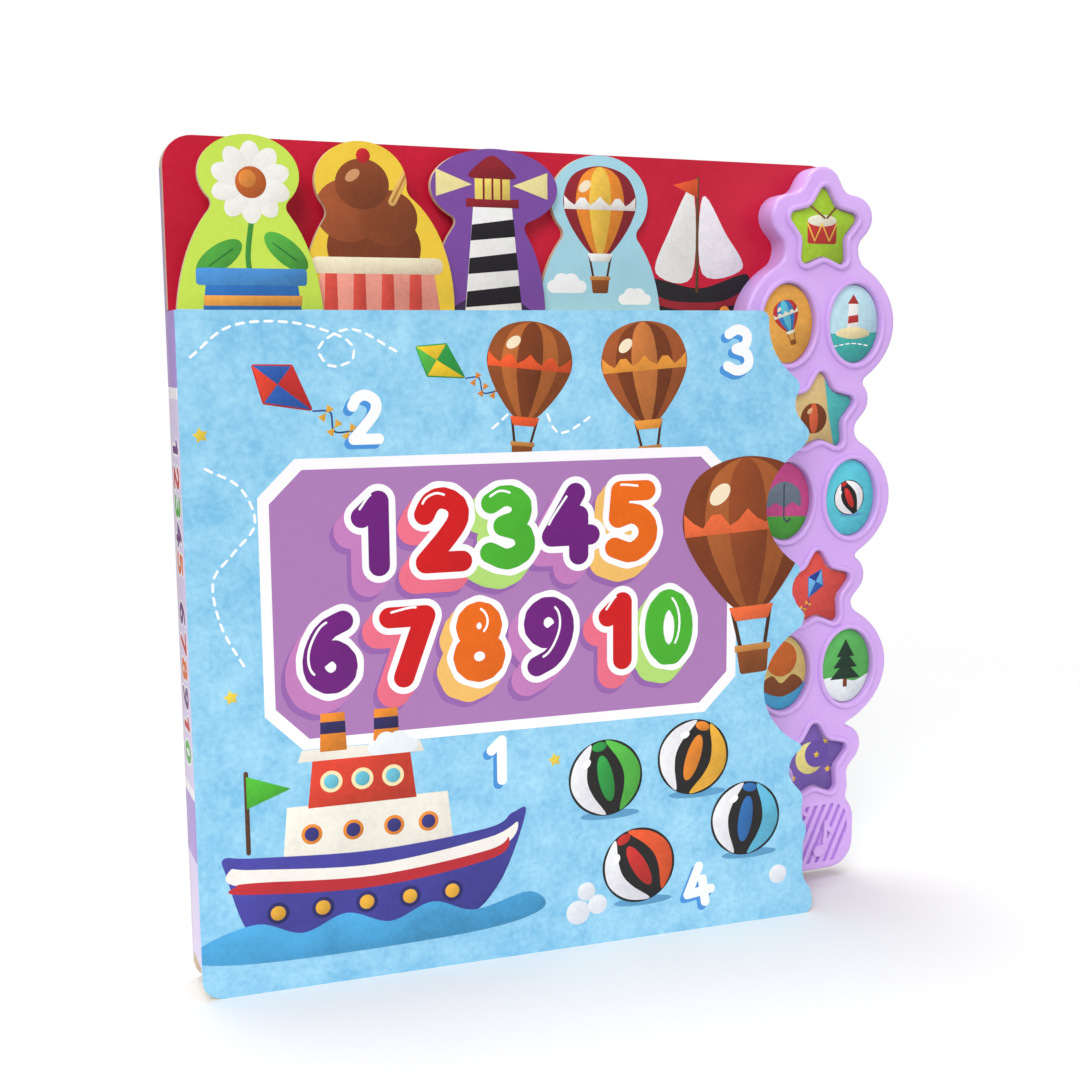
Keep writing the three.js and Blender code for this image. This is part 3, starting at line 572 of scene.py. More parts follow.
# The front cover stands open: its points turn about the fold
def openCover(points):
    angle = -math.radians(book["open"])
    x, y = points[:, 0], points[:, 1]
    return np.column_stack([x * math.cos(angle) - y * math.sin(angle),
                            x * math.sin(angle) + y * math.cos(angle), points[:, 2]])


# Small shapes for the prints, as arrays of [x, z] points
def disc(x, z, rx, rz=None, lean=0.0, count=36):
    loop = ovalLoop(0, 0, rx, rz or rx, count)
    return turnShape(loop, lean) + (x, z)


def turnShape(points, degrees):
    angle = math.radians(degrees)
    points = np.asarray(points, float)
    return points @ np.array([[math.cos(angle), math.sin(angle)], [-math.sin(angle), math.cos(angle)]])


# A Catmull-Rom curve through points: cubic weights on each four neighbours
def smooth(points, steps=8, closed=False):
    points = np.asarray(points, float)
    if closed:
        padded = np.concatenate([points[-1:], points, points[:2]])
    else:
        padded = np.concatenate([2 * points[:1] - points[1:2], points, 2 * points[-1:] - points[-2:-1]])
    p0, p1, p2, p3 = (padded[i:len(padded) - 3 + i][:, None] for i in range(4))
    t = np.linspace(0, 1, steps, endpoint=False)[None, :, None]
    curve = 0.5 * (2 * p1 + (p2 - p0) * t + (2 * p0 - 5 * p1 + 4 * p2 - p3) * t ** 2
                   + (3 * p1 - p0 - 3 * p2 + p3) * t ** 3)
    curve = curve.reshape(-1, 2)
    return curve if closed else np.concatenate([curve, points[-1:]])


def blob(*points, steps=8):
    return smooth(points, steps, closed=True)


# A brush stroke: a disc at each point and a plank between neighbours, with crowded points left out
def stroke(points, width):
    points = np.asarray(points, float)
    kept = [0]
    for index in range(1, len(points)):
        if np.linalg.norm(points[index] - points[kept[-1]]) > width * 0.3 or index == len(points) - 1:
            kept.append(index)
    points = points[kept]
    ahead = points[1:] - points[:-1]
    ahead /= np.maximum(np.linalg.norm(ahead, axis=1, keepdims=True), 1e-6)
    across = np.stack([-ahead[:, 1], ahead[:, 0]], 1) * width / 2
    start, end = points[:-1], points[1:]
    planks = np.stack([start + across, end + across, end - across, start - across], 1)
    return [*planks, *(disc(x, z, width / 2, count=24 if width > 3 else 12) for x, z in points)]


print("outlines and shapes ready")

# Numerals as centre lines in a box one unit high
ring = np.linspace(0, 2 * math.pi, 25)
digits = {
    "0": [np.stack([0.30 + 0.21 * np.sin(ring), 0.5 + 0.38 * np.cos(ring)], 1)],
    "1": [[(0.13, 0.70), (0.33, 0.88), (0.33, 0.12)]],
    "2": [smooth([(0.09, 0.70), (0.17, 0.84), (0.32, 0.89), (0.48, 0.80), (0.50, 0.63), (0.36, 0.42),
                  (0.10, 0.13)]),
          [(0.10, 0.12), (0.54, 0.12)]],
    "3": [smooth([(0.10, 0.80), (0.28, 0.89), (0.47, 0.80), (0.45, 0.60), (0.25, 0.52)]),
          smooth([(0.25, 0.52), (0.48, 0.43), (0.51, 0.22), (0.30, 0.11), (0.08, 0.20)])],
    "4": [[(0.38, 0.88), (0.07, 0.36), (0.57, 0.36)], [(0.42, 0.60), (0.42, 0.12)]],
    "5": [[(0.50, 0.88), (0.16, 0.88), (0.13, 0.55)],
          smooth([(0.13, 0.55), (0.34, 0.60), (0.51, 0.46), (0.50, 0.25), (0.31, 0.11), (0.08, 0.18)])],
    "6": [smooth([(0.46, 0.88), (0.24, 0.76), (0.10, 0.48), (0.12, 0.23), (0.30, 0.11), (0.48, 0.22),
                  (0.48, 0.42), (0.31, 0.53), (0.13, 0.42)])],
    "7": [[(0.08, 0.88), (0.53, 0.88), (0.25, 0.12)]],
    "8": [np.stack([0.30 + 0.17 * np.sin(ring), 0.70 + 0.18 * np.cos(ring)], 1),
          np.stack([0.30 + 0.21 * np.sin(ring), 0.31 + 0.20 * np.cos(ring)], 1)],
    "9": [smooth([(0.14, 0.12), (0.36, 0.24), (0.50, 0.52), (0.48, 0.77), (0.30, 0.89), (0.12, 0.78),
                  (0.12, 0.58), (0.29, 0.47), (0.47, 0.58)])],
}


# A sheet of ink on one face of a board. Each colour is a thin closed film, and a film that lies over
# others stands one step further out than they do.
film = {"step": 0.012, "sunk": 0.02}


class Sheet:
    def __init__(self, front, mask=(), facing=-1):
        self.build, self.materials, self.boxes = Build(), [], []
        self.front, self.mask, self.facing = front, mask, facing

    def ink(self, loops, code, depth=1.0, mottle=None):
        material = paint(code, depth, mottle)
        if material not in self.materials:
            self.materials.append(material)
        slot = self.materials.index(material)
        every = np.concatenate([np.asarray(loop, float) for loop in loops])
        low, high = every.min(0), every.max(0)
        under = [rank for start, end, rank in self.boxes if (start < high).all() and (end > low).all()]
        rank = 1 + max(under, default=0)
        self.boxes.append((low, high, rank))
        outer = self.front + self.facing * film["step"] * rank
        near, far = sorted([outer, self.front - self.facing * film["sunk"]])
        crossing = self.mask and not np.any([inside(every, loop) for loop in self.mask], axis=0).all()
        self.build.slab(loops, near, far, (slot,) * 3, (), self.mask if crossing else ())

    def object(self, name, body, slotName, stands=(), turn=None):
        return self.build.object(name, self.materials, body, slotName, stands, turn)


def numeral(figure, x, z, height, width, shift=(0, 0), lean=0):
    shapes = []
    for line in digits[figure]:
        points = turnShape(np.asarray(line, float) * height, lean) + (x, z)
        shapes += stroke(points + shift, width)
    return shapes


# Title numerals: soft shadow, pale side in the lower left, white border, colour and a thin light line
bubble = {
    "stroke": 6.7, "border": 2.1, "reach": (-3.4, -4.2), "shadow": 1.4, "light": 0.75, "lightEdge": 0.22,
}
titleColours = {
    "purple": ("6F1A7C", "C77FBE"), "red": ("D31418", "F0718A"), "green": ("4BB430", "B7E077"),
    "orange": ("EC6A0C", "F9C26B"),
}


def bubbleRow(sheet, figures, places, tones, z, size):
    wide, far = bubble["stroke"] + 2 * bubble["border"], np.array(bubble["reach"])
    glyphs = lambda width, shift=(0, 0): [
        shape for figure, x in zip(figures, places)
        for shape in numeral(figure, x, z, size, width, shift=shift)]
    sheet.ink(glyphs(wide, far * bubble["shadow"]), "9A66B0", 0.3)
    for figure, x, tone in zip(figures, places, tones):
        sides = []
        for share in (0.5, 1):
            sides += numeral(figure, x, z, size, wide, shift=far * share)
        sheet.ink(sides, titleColours[tone][1], 0.4)
    sheet.ink(glyphs(wide), "FDFBFF", 0.1, 0.05)
    for figure, x, tone in zip(figures, places, tones):
        sheet.ink(numeral(figure, x, z, size, bubble["stroke"]), titleColours[tone][0], 0.5)
    edge = bubble["stroke"] * bubble["lightEdge"]
    lights = []
    for figure, x in zip(figures, places):
        line = np.asarray(digits[figure][0], float)
        line = smooth(line, 12) if len(line) < 5 else line
        line = line[len(line) // 12:max(len(line) * 5 // 12, 3)]
        lights += stroke(line * size + (x - edge, z + edge), bubble["light"])
    sheet.ink(lights, "FFFFFF", 0.1, 0.05)


def dashes(sheet, points, gap=4.2, long=2.2, width=0.8):
    path = smooth(points, 24)
    run = np.concatenate([[0], np.cumsum(np.linalg.norm(np.diff(path, axis=0), axis=1))])
    starts = np.arange(0, run[-1] - long, gap)
    at = lambda s: np.stack([np.interp(s, run, path[:, 0]), np.interp(s, run, path[:, 1])], 1)
    shapes = [shape for a, b in zip(at(starts), at(starts + long)) for shape in stroke([a, b], width)]
    sheet.ink(shapes, "FFFFFF", 0.1, 0.1)


def movedBy(x, z, size, lean=0):
    return lambda points: turnShape(np.asarray(points, float) * size, lean) + (x, z)


# Hot-air balloon: gores as ovals that narrow towards the middle, a skirt, ropes and a basket
def balloon(sheet, x, z, size, tones, lean=0):
    put = movedBy(x, z, size, lean)
    envelope = blob((0, 1.05), (0.62, 0.86), (0.86, 0.35), (0.72, -0.15), (0.3, -0.72), (0, -0.86),
                    (-0.3, -0.72), (-0.72, -0.15), (-0.86, 0.35), (-0.62, 0.86))
    for line in ((-0.26, -0.8, -0.16, -1.3), (0.26, -0.8, 0.16, -1.3)):
        sheet.ink(stroke(put([line[:2], line[2:]]), 0.05 * size), "4A2A18")
    sheet.ink([put(envelope)], tones[0])
    for index, share in enumerate((0.66, 0.30)):
        sheet.ink([put(envelope * (share, 0.985))], tones[1 + index % 2])
    t = np.linspace(-0.84, 0.84, 15)
    wave = np.stack([t, 0.32 + 0.1 * np.cos(t * 15)], 1)
    level = np.stack([t[::-1], np.full(len(t), 0.14)], 1)
    sheet.ink([put(np.concatenate([wave, level]))], tones[3])
    sheet.ink([put(disc(-0.36, 0.62, 0.16, 0.1, 40))], "FFE9C8", 0.3)
    sheet.ink([put([(-0.3, -0.78), (0.3, -0.78), (0.22, -0.95), (-0.22, -0.95)])], tones[3])
    basket = roundedLoop([(-0.22, -1.28), (0.22, -1.28), (0.18, -1.62), (-0.18, -1.62)], [0.04] * 4, 3)
    sheet.ink([put(basket)], "8A4A1E")
    sheet.ink([put([(-0.24, -1.26), (0.24, -1.26), (0.24, -1.34), (-0.24, -1.34)])], "C98742")


# Toy steam boat: hull with two stripes, cabin with ports, two funnels and a flag, with water at its foot
def steamBoat(sheet, x, z, size):
    put = movedBy(x, z, size)
    hull = blob((-1.0, 0.22), (-0.99, 0.1), (-0.86, -0.3), (-0.6, -0.42), (0.5, -0.42), (0.86, -0.22),
                (1.08, 0.3), (0.98, 0.31), (0.8, 0.22), (0, 0.16), (-0.8, 0.2), steps=6)
    whiteStripe = blob((-0.96, 0.14), (-0.9, 0.02), (0, -0.04), (0.86, 0.06), (1.02, 0.24), (0.8, 0.15),
                       (0, 0.06), (-0.8, 0.12))
    redStripe = blob((-0.93, 0.02), (-0.9, -0.04), (0, -0.1), (0.84, 0.0), (0.95, 0.14), (0.8, 0.06),
                     (0, -0.02), (-0.8, 0.03))
    water = blob((-1.16, -0.36), (-0.8, -0.26), (-0.5, -0.36), (-0.2, -0.26), (0.1, -0.36), (0.4, -0.26),
                 (0.7, -0.36), (1.1, -0.28), (1.2, -0.42), (0.7, -0.52), (-0.6, -0.54), (-1.2, -0.48))
    sheet.ink([put([(-0.62, 0.1), (0.56, 0.1), (0.52, 0.52), (-0.58, 0.52)])], "F5EDE0", 0.6)
    sheet.ink([put([(-0.44, 0.5), (0.3, 0.5), (0.26, 0.84), (-0.4, 0.84)])], "D8402B")
    sheet.ink([put([(-0.5, 0.82), (0.36, 0.82), (0.33, 0.9), (-0.47, 0.9)])], "F5EDE0", 0.5)
    for place in (-0.26, 0.1):
        funnel = [(place - 0.09, 0.88), (place + 0.09, 0.88), (place + 0.08, 1.14), (place - 0.08, 1.14)]
        band = [(place - 0.085, 1.0), (place + 0.085, 1.0), (place + 0.083, 1.08), (place - 0.083, 1.08)]
        sheet.ink([put(funnel)], "E8892B")
        sheet.ink([put(band)], "2E2A5E")
    for place in (-0.28, -0.07, 0.14):
        sheet.ink([put(disc(place, 0.67, 0.075))], "FBE7B5", 0.3)
        sheet.ink([put(disc(place, 0.67, 0.05))], "6BC3D8")
    for place in (-0.42, -0.14, 0.14, 0.38):
        sheet.ink([put(disc(place, 0.32, 0.07))], "E8892B")
        sheet.ink([put(disc(place, 0.32, 0.048))], "35347A")
    sheet.ink([put(hull)], "45429C")
    sheet.ink([put(whiteStripe)], "FBF3EA", 0.4)
    sheet.ink([put(redStripe)], "C32A33", 0.6)
    for place in (-0.66, -0.36, -0.06, 0.24, 0.54):
        sheet.ink([put(disc(place, -0.2, 0.075))], "2B2968")
        sheet.ink([put(disc(place, -0.2, 0.05))], "F2B13A")
    sheet.ink([put(water)], "4AA3D6")
    sheet.ink(stroke(put([(-0.84, 0.24), (-0.84, 0.78)]), 0.03 * size), "5A3A22")
    sheet.ink([put([(-0.84, 0.76), (-0.84, 0.54), (-0.55, 0.65)])], "4BB430")


# Ball: a disc with curved panels and a light spot. Its colours are the middle panel's and the side one's.
ballTones = {
    "green": ("2F9A45", "57B947"), "orange": ("E8892B", "F2B13A"), "red": ("C9302C", "E8592B"),
    "blue": ("2F6FB3", "5FB7D6"),
}


def toyBall(sheet, x, z, size, tone, accent, lean=0):
    put = movedBy(x, z, size, lean)
    sheet.ink([movedBy(x, z, size)(disc(0.12, -0.98, 0.8, 0.12))], "5E9FC9", 0.4)
    sheet.ink([put(disc(0, 0, 1, count=48))], "22201F")
    sheet.ink([put(blob((-0.2, 0.95), (-0.72, 0.6), (-0.95, 0), (-0.72, -0.6), (-0.2, -0.95), (-0.42, -0.4),
                        (-0.5, 0), (-0.42, 0.4)))], "F4F0FA", 0.8)
    sheet.ink([put(blob((0.2, 0.95), (0.72, 0.6), (0.95, 0), (0.72, -0.6), (0.2, -0.95), (0.42, -0.4),
                        (0.5, 0), (0.42, 0.4)))], accent)
    sheet.ink([put(disc(0, 0.84, 0.2, 0.12))], tone)
    sheet.ink([put(disc(0, -0.02, 0.2, 0.62))], tone)
    sheet.ink([put(disc(-0.42, 0.5, 0.14, 0.09, 40))], "FFFFFF", 0.2)


redKite = ("C9302C", "2F5FB3", "E8452F", "F2B13A")


def kite(sheet, x, z, size, tones, lean=0):
    put = movedBy(x, z, size, lean)
    tail = put(smooth([(0, -1.1), (0.25, -1.5), (-0.1, -1.9), (0.2, -2.3)]))
    sheet.ink(stroke(tail, 0.05 * size), "3A4A8C")
    corners = np.array([(0, 1.0), (0.68, 0.1), (0, -1.12), (-0.68, 0.1)])
    sheet.ink([put(roundedLoop(corners, [0.06] * 4, 3))], tones[0])
    sheet.ink([put([(0, 0.94), (0.62, 0.1), (0, 0.1)])], tones[1])
    sheet.ink([put([(0, -1.04), (-0.62, 0.1), (0, 0.1)])], tones[1])
    sheet.ink([put([(0, 0.94), (-0.62, 0.1), (0, 0.1)])], tones[2])
    for place, across in ((-1.42, 0.16), (-1.85, -0.02), (-2.25, 0.14)):
        sheet.ink([put([(across + half, place + 0.12), (across + half, place - 0.12), (across, place)])
                   for half in (-0.22, 0.22)], tones[3])


def cloud(sheet, x, z, size, code="F2F9FE"):
    put = movedBy(x, z, size)
    puffs = [(-0.7, 0, 0.34, 0.3), (-0.3, 0.2, 0.42, 0.42), (0.2, 0.16, 0.46, 0.46), (0.66, 0, 0.34, 0.3)]
    base = [(-0.7, -0.3), (0.66, -0.3), (0.66, 0), (-0.7, 0)]
    sheet.ink([put(disc(*puff)) for puff in puffs] + [put(base)], code, 0.4)


def smallStar(sheet, x, z, size, code, lean=0):
    loop = starLoop(0, 0, 0, 1.0, 0.46, 0.08, 0.05, 4)
    sheet.ink([movedBy(x, z, size, lean)(loop)], code)


# Title panel on the front cover: chamfered rectangle with a white border
panel = {"x0": 21.9, "x1": 181.5, "z0": 77.5, "z1": 168.2, "cut": 11.5, "border": 3.4}


def panelLoop(inset):
    x0, x1 = panel["x0"] + inset, panel["x1"] - inset
    z0, z1 = panel["z0"] + inset, panel["z1"] - inset
    cut = panel["cut"] - inset * 0.4
    return [(x0 + cut, z1), (x1 - cut, z1), (x1, z1 - cut), (x1, z0 + cut), (x1 - cut, z0), (x0 + cut, z0),
            (x0, z0 + cut), (x0, z1 - cut)]


# A white numeral with a blue shadow
def counted(sheet, figure, x, z, lean=0, size=17.5):
    wide, drop = size * 0.19, -size * 0.075
    sheet.ink(numeral(figure, x, z, size, wide, shift=(drop, drop), lean=lean), "4A97E0", 0.4)
    sheet.ink(numeral(figure, x, z, size, wide, lean=lean), "FCFDFF", 0.1, 0.25)


def coverPrint():
    sheet = Sheet(0.0, [offsetLoop(leafOutline(0), -book["printEdge"])])
    dashes(sheet, [(4, 199), (16, 208), (34, 209), (50, 204), (52, 198), (45, 196), (42, 202), (52, 207),
                   (66, 200)])
    dashes(sheet, [(7, 166), (17, 160), (21, 149), (14, 140), (8, 132), (10, 118), (17, 104)])
    dashes(sheet, [(96, 176), (110, 186), (118, 174), (131, 180)])
    kite(sheet, 30, 190, 11, redKite, 52)
    kite(sheet, 79, 197, 9, ("2F9A45", "F0C52E", "57B947", "E8892B"), 58)
    balloon(sheet, 108, 192, 16.5, ("8E4A22", "B4652F", "7A3B1B", "E8592B"), -6)
    balloon(sheet, 148, 191, 17.5, ("A2552A", "7A3B1B", "C7763A", "F09A3C"), 4)
    sheet.ink([panelLoop(0)], "FCFAFF", 0.1, 0.05)
    sheet.ink([panelLoop(panel["border"])], "AE7CB7", 0.12, 0.1)
    bubbleRow(sheet, "12345", (50, 71, 92.5, 113.5, 135),
              ("purple", "red", "green", "purple", "orange"), 131, 26.5)
    bubbleRow(sheet, "678910", (35, 59.5, 83, 106.5, 131.5, 149),
              ("purple", "red", "orange", "purple", "red", "green"), 95, 25.5)
    balloon(sheet, 186, 135, 28, ("7C3A1A", "A65A2A", "8E4520", "EE6A3A"), 3)
    steamBoat(sheet, 55, 35, 47)
    cloud(sheet, 62, 76, 8)
    for x, z, tone, lean in ((134, 58, "green", 12), (166, 62, "orange", -18), (146, 26, "red", 30),
                             (186, 38, "blue", -8)):
        toyBall(sheet, x, z, 13.2, *ballTones[tone], lean)
    for x, z, size in ((124, 12, 4.2), (131, 14, 3.4), (127, 19, 3.2), (199, 16, 3.4)):
        sheet.ink([disc(x, z, size)], "EEF3FF", 0.7)
    counted(sheet, "2", 50, 171.5)
    counted(sheet, "3", 176, 191)
    counted(sheet, "1", 92, 59)
    counted(sheet, "4", 164, 6.5, 8)
    for x, z in ((196, 200), (6, 176), (116, 66), (12, 96)):
        smallStar(sheet, x, z, 2.6, "F6D24A", 12)
    return sheet


# The faces of a board's rim that lie along the spine take the spine's print
def printFold(board, slot, low, high):
    mesh = board.data
    numbers = np.zeros(len(mesh.polygons), np.int32)
    mesh.polygons.foreach_get("material_index", numbers)
    normals, centres = (np.zeros(len(numbers) * 3) for _ in range(2))
    mesh.polygons.foreach_get("normal", normals)
    mesh.polygons.foreach_get("center", centres)
    x, _, z = ((centres.reshape(-1, 3) - bookCorner) / mm).T
    fold = (normals.reshape(-1, 3)[:, 0] < -0.7) & (x < book["foldReach"]) & (z > low) & (z < high)
    numbers[fold] = slot
    mesh.polygons.foreach_set("material_index", numbers)


# Inside of the cover: a pale ground with rows of clouds, stars and spots
def endPaper():
    sheet = Sheet(book["board"], [offsetLoop(leafOutline(0), -book["printEdge"])], facing=1)
    for row in range(6):
        for column in range(7):
            x, z = 16 + column * 31 + (row % 2) * 14, 18 + row * 36
            kind = (row * 2 + column) % 3
            if kind == 0:
                cloud(sheet, x, z, 9, "F7FCFF")
            elif kind == 1:
                smallStar(sheet, x, z, 6, "F6D66A", 15 * column)
            else:
                sheet.ink([disc(x, z, 3.6)], "F2A7BE", 0.4)
    return sheet


# Sky, two hills and the ground across a whole leaf, below the tab's picture
def landscape(sheet, skyCode, hills, ground):
    sheet.ink([[(-5, 0), (215, 0), (215, 213), (-5, 213)]], skyCode, 0.5, 0.35)
    far = blob((-20, 60), (20, 92), (70, 104), (120, 84), (170, 96), (230, 80), (230, -20), (-20, -20))
    near = blob((-20, 40), (40, 60), (90, 52), (150, 70), (230, 48), (230, -20), (-20, -20))
    field = blob((-20, 20), (60, 32), (120, 22), (180, 34), (230, 24), (230, -20), (-20, -20))
    for shape, code in ((far, hills[0]), (near, hills[1]), (field, ground)):
        sheet.ink([shape], code)


def firstLeafPicture(sheet):
    landscape(sheet, "BFE6F5", ("8CCB5E", "6DB84A"), "4FA03C")
    sheet.ink([disc(168, 172, 17)], "F8D64E", 0.6)
    for index in range(12):
        angle = math.radians(30 * index)
        ray = [(168 + radius * math.sin(angle), 172 + radius * math.cos(angle)) for radius in (20.5, 26)]
        sheet.ink(stroke(ray, 2.4), "F6C23A")
    cloud(sheet, 60, 182, 15)
    cloud(sheet, 112, 164, 11)
    counted(sheet, "1", 26, 126, size=46)
    for x, z, tone in ((40, 44, "E8592B"), (74, 36, "C77FBE"), (104, 42, "F2C04A"), (136, 34, "E8592B"),
                       (164, 46, "F2F2FA"), (186, 30, "C77FBE")):
        sheet.ink(stroke([(x, z - 16), (x + 1, z)], 1.3), "2F7A35")
        sheet.ink([disc(x + 4.4 * math.sin(turn), z + 4.4 * math.cos(turn), 3)
                   for turn in np.radians(range(0, 360, 60))], tone)
        sheet.ink([disc(x, z, 2.6)], "FBE7B5")
    balloon(sheet, 122, 112, 24, ("C9302C", "F2B13A", "E8592B", "FBF3EA"), -5)


def lastLeafPicture(sheet):
    landscape(sheet, "D3ECFA", ("F0D9A0", "E9CB86"), "5CB8D8")
    cloud(sheet, 52, 176, 15)
    cloud(sheet, 150, 186, 12)
    counted(sheet, "4", 150, 104, size=46)
    for x, z, tone in ((46, 58, "blue"), (88, 46, "red"), (128, 56, "green"), (170, 44, "orange")):
        toyBall(sheet, x, z, 14, *ballTones[tone], 12)
    kite(sheet, 92, 140, 20, redKite, 30)


def redLeafPicture(sheet):
    far = blob((-20, 60), (30, 66), (80, 58), (130, 68), (190, 60), (240, 64), (240, -20), (-20, -20))
    near = blob((-20, 34), (40, 42), (90, 32), (150, 42), (240, 36), (240, -20), (-20, -20))
    sheet.ink([far], "2F7FB8")
    sheet.ink([near], "4AA3D6")
    steamBoat(sheet, 84, 78, 58)
    counted(sheet, "5", 24, 150, size=40)
    cloud(sheet, 140, 176, 14, "F7D9D4")
    smallBoat(sheet)


def buildCover():
    build = Build()
    build.slab([leafOutline(0)], 0.0, book["board"], tilt=False)
    lining = paint("BFE3F2", 0.15, 0.3)
    cover = build.object("front_cover_board", [sky, cut, lining, spineInk], "front_cover", "cover_board",
                         ["front_cover"], openCover)
    printFold(cover, 3, book["cardFoot"], book["coverHeight"])
    coverPrint().object("front_cover_print", "front_cover", "cover_board", (), openCover)
    endPaper().object("front_cover_endpaper", "front_cover", "cover_board", (), openCover)


buildCover()
print("front cover ready")

# Leaves: the printed front, the bare cut edge and the printed back of each
leafColours = ["C6E253", "EFC93F", "7B4BA0", "A8D8E8"]
leafBacks = ["F5F0E2", "F3E3B8", "E9D4F2", "D9EEF6"]


def flowerPot(sheet):
    sheet.ink(stroke(smooth([(24, 218), (22.5, 228), (24, 240)]), 1.6), "3F8F3A")
    for x, z, lean in ((14, 228, 55), (34, 230, -50)):
        sheet.ink([disc(x, z, 3.6, 8, -lean)], "4FA53F")
        sheet.ink(stroke([(x - 3 * np.sign(lean), z - 2.5), (x + 4 * np.sign(lean), z + 2.5)], 0.5), "2F7A35")
    for angle in range(0, 360, 36):
        x, z = 24 + 7.2 * math.sin(math.radians(angle)), 250 + 7.2 * math.cos(math.radians(angle))
        sheet.ink([disc(x, z, 3.1, 4.8, -angle)], "FBF6EC", 0.6)
    sheet.ink([disc(24, 250, 4.6)], "C0602A")
    sheet.ink([disc(23, 251, 2.6)], "E08A3C")
    sheet.ink([[(8, 206), (39, 206), (37, 222), (10, 222)]], "2E6FB8")
    sheet.ink([roundedLoop([(7, 220), (40, 220), (40, 225), (7, 225)], [1] * 4, 3)], "4A8FD0")
    sheet.ink([[(9.2, 214), (38.2, 214), (38.5, 217), (9, 217)]], "F0A34A")


def iceCream(sheet):
    sheet.ink([disc(62, 232, 15, 12)], "7A3B1E")
    sheet.ink([disc(54, 243, 10.5, 9.5)], "A0522D")
    sheet.ink([disc(66.5, 241, 9.5, 8.5)], "8A4524")
    sheet.ink([disc(58.5, 251, 8.5, 7.6)], "8A4524")
    sheet.ink([disc(55.5, 253.5, 2.6, 1.5, 35)], "D59A6A", 0.3)
    sheet.ink([disc(59, 259.5, 2.2)], "C9202C")
    sheet.ink(stroke([(68, 246), (75, 259)], 2.6), "E8B968")
    sheet.ink(stroke([(68, 246), (75, 259)], 0.7), "B97F38")
    sheet.ink([[(42, 206), (84, 206), (81, 226), (45, 226)]], "F29A8A")
    for x in (45.5, 54.5, 63.5, 72.5):
        sheet.ink([[(x, 206), (x + 4.6, 206), (x + 4.4, 226), (x + 0.8, 226)]], "D94F43")
    sheet.ink([roundedLoop([(42, 224), (84, 224), (84, 229), (42, 229)], [2] * 4, 4)], "FBE3C4")


def lighthouse(sheet):
    sheet.ink([disc(101, 206, 17, 12)], "3D2A4E")
    sheet.ink([[(92, 210), (112, 210), (108.5, 247), (95.5, 247)]], "FAF7F2", 0.7)
    for low in (214, 224.5, 235):
        taper = (low - 214) * 0.09
        band = [(92.5 + taper, low), (111.6 - taper, low + 1.5), (111 - taper, low + 7),
                (93 + taper, low + 5)]
        sheet.ink([band], "1F1B22")
    sheet.ink([[(93, 245.5), (111, 245.5), (111, 248.2), (93, 248.2)]], "8E1F2A")
    sheet.ink([[(96, 248), (108, 248), (108, 255), (96, 255)]], "F6D469")
    for x in (99, 102, 105):
        sheet.ink([[(x - 0.35, 248), (x + 0.35, 248), (x + 0.35, 255), (x - 0.35, 255)]], "8E1F2A")
    sheet.ink([blob((94, 255), (98, 259.5), (102, 261.6), (106, 259.5), (110, 255), (102, 254.5))], "8E1F2A")
    for side in (-1, 1):
        beam = [(102 + side * 7, 252.5), (102 + side * 19, 257), (102 + side * 19, 248.5)]
        sheet.ink([beam], "F4E3A0", 0.6)


def smallBoat(sheet):
    waves = blob((152, 206), (160, 215), (172, 212), (184, 216), (196, 211), (196, 204), (152, 204))
    hull = blob((160, 224), (164, 213), (172, 208), (188, 208), (196, 214), (199, 226), (180, 221))
    stripe = blob((161.5, 219), (170, 216.5), (188, 216.5), (197.5, 220), (197, 216.5), (180, 213),
                  (163, 215.5))
    for shape, code in ((waves, "F0A08F"), (hull, "1F1D22"), (stripe, "9E2230")):
        sheet.ink([shape], code)
    sheet.ink(stroke([(179, 220), (179, 258)], 1.2), "6A4226")
    sheet.ink([blob((177, 255), (177, 225), (163, 226), (168, 240), steps=6)], "FBF8F2", 0.8)
    sheet.ink([blob((181, 252), (181, 226), (197, 228), (190, 240), steps=6)], "EDE7F3", 0.8)
    sheet.ink([[(179, 258), (179, 251.5), (169.5, 255.5)]], "E8592B")
    sheet.ink([disc(190, 213, 2)], "F09A3C")


def balloonTab(sheet):
    balloon(sheet, 141, 244, 15.5, ("8E1F2A", "E8892B", "F2C04A", "FBF3EA"))
    cloud(sheet, 129, 221, 7, "FFFFFF")
    cloud(sheet, 154, 217, 6, "FFFFFF")


def buildLeaves():
    art = [flowerPot, iceCream, lighthouse, balloonTab]
    outline = leafOutline(book["leafX"])
    build = Build()
    materials = [cut]
    for index, tab in enumerate(tabs):
        front, back = leafFront[index], leafFront[index] + book["leaf"]
        materials += [paint(leafColours[index], 0.5, 0.3), paint(leafBacks[index], 0.2, 0.3)]
        shape = tabOutline(tab)
        shape = shape[shape[:, 1] > book["coverHeight"] - book["tabRoot"]]
        shape[:, 0] = np.maximum(shape[:, 0], book["leafX"])
        build.slab([outline, shape], front, back, (1 + 2 * index, 0, 2 + 2 * index))
        sheet = Sheet(front, [outline, shape])
        if index == 0:
            firstLeafPicture(sheet)
        art[index](sheet)
        sheet.object(f"leaf_{index + 1}_print", "book_block", "leaf_board")
    sheet = Sheet(-leafFront[3] - book["leaf"], [outline * (-1, 1) + (book["foreX"], 0)])
    lastLeafPicture(sheet)
    sheet.object("last_leaf_back_print", "book_block", "leaf_board", (), turnedRound)
    bound, foot, top = book["leafX"] + book["binding"], book["cardFoot"], book["coverHeight"]
    strip = np.array([(book["leafX"], foot), (bound, foot), (bound, top), (book["leafX"], top)])
    for index in range(3):
        build.slab([strip], leafFront[index] + book["leaf"], leafFront[index + 1], (0, 0, 0))
    build.object("leaves", materials, "book_block", "leaf_board", ["page_block"])


buildLeaves()
print("leaves ready")


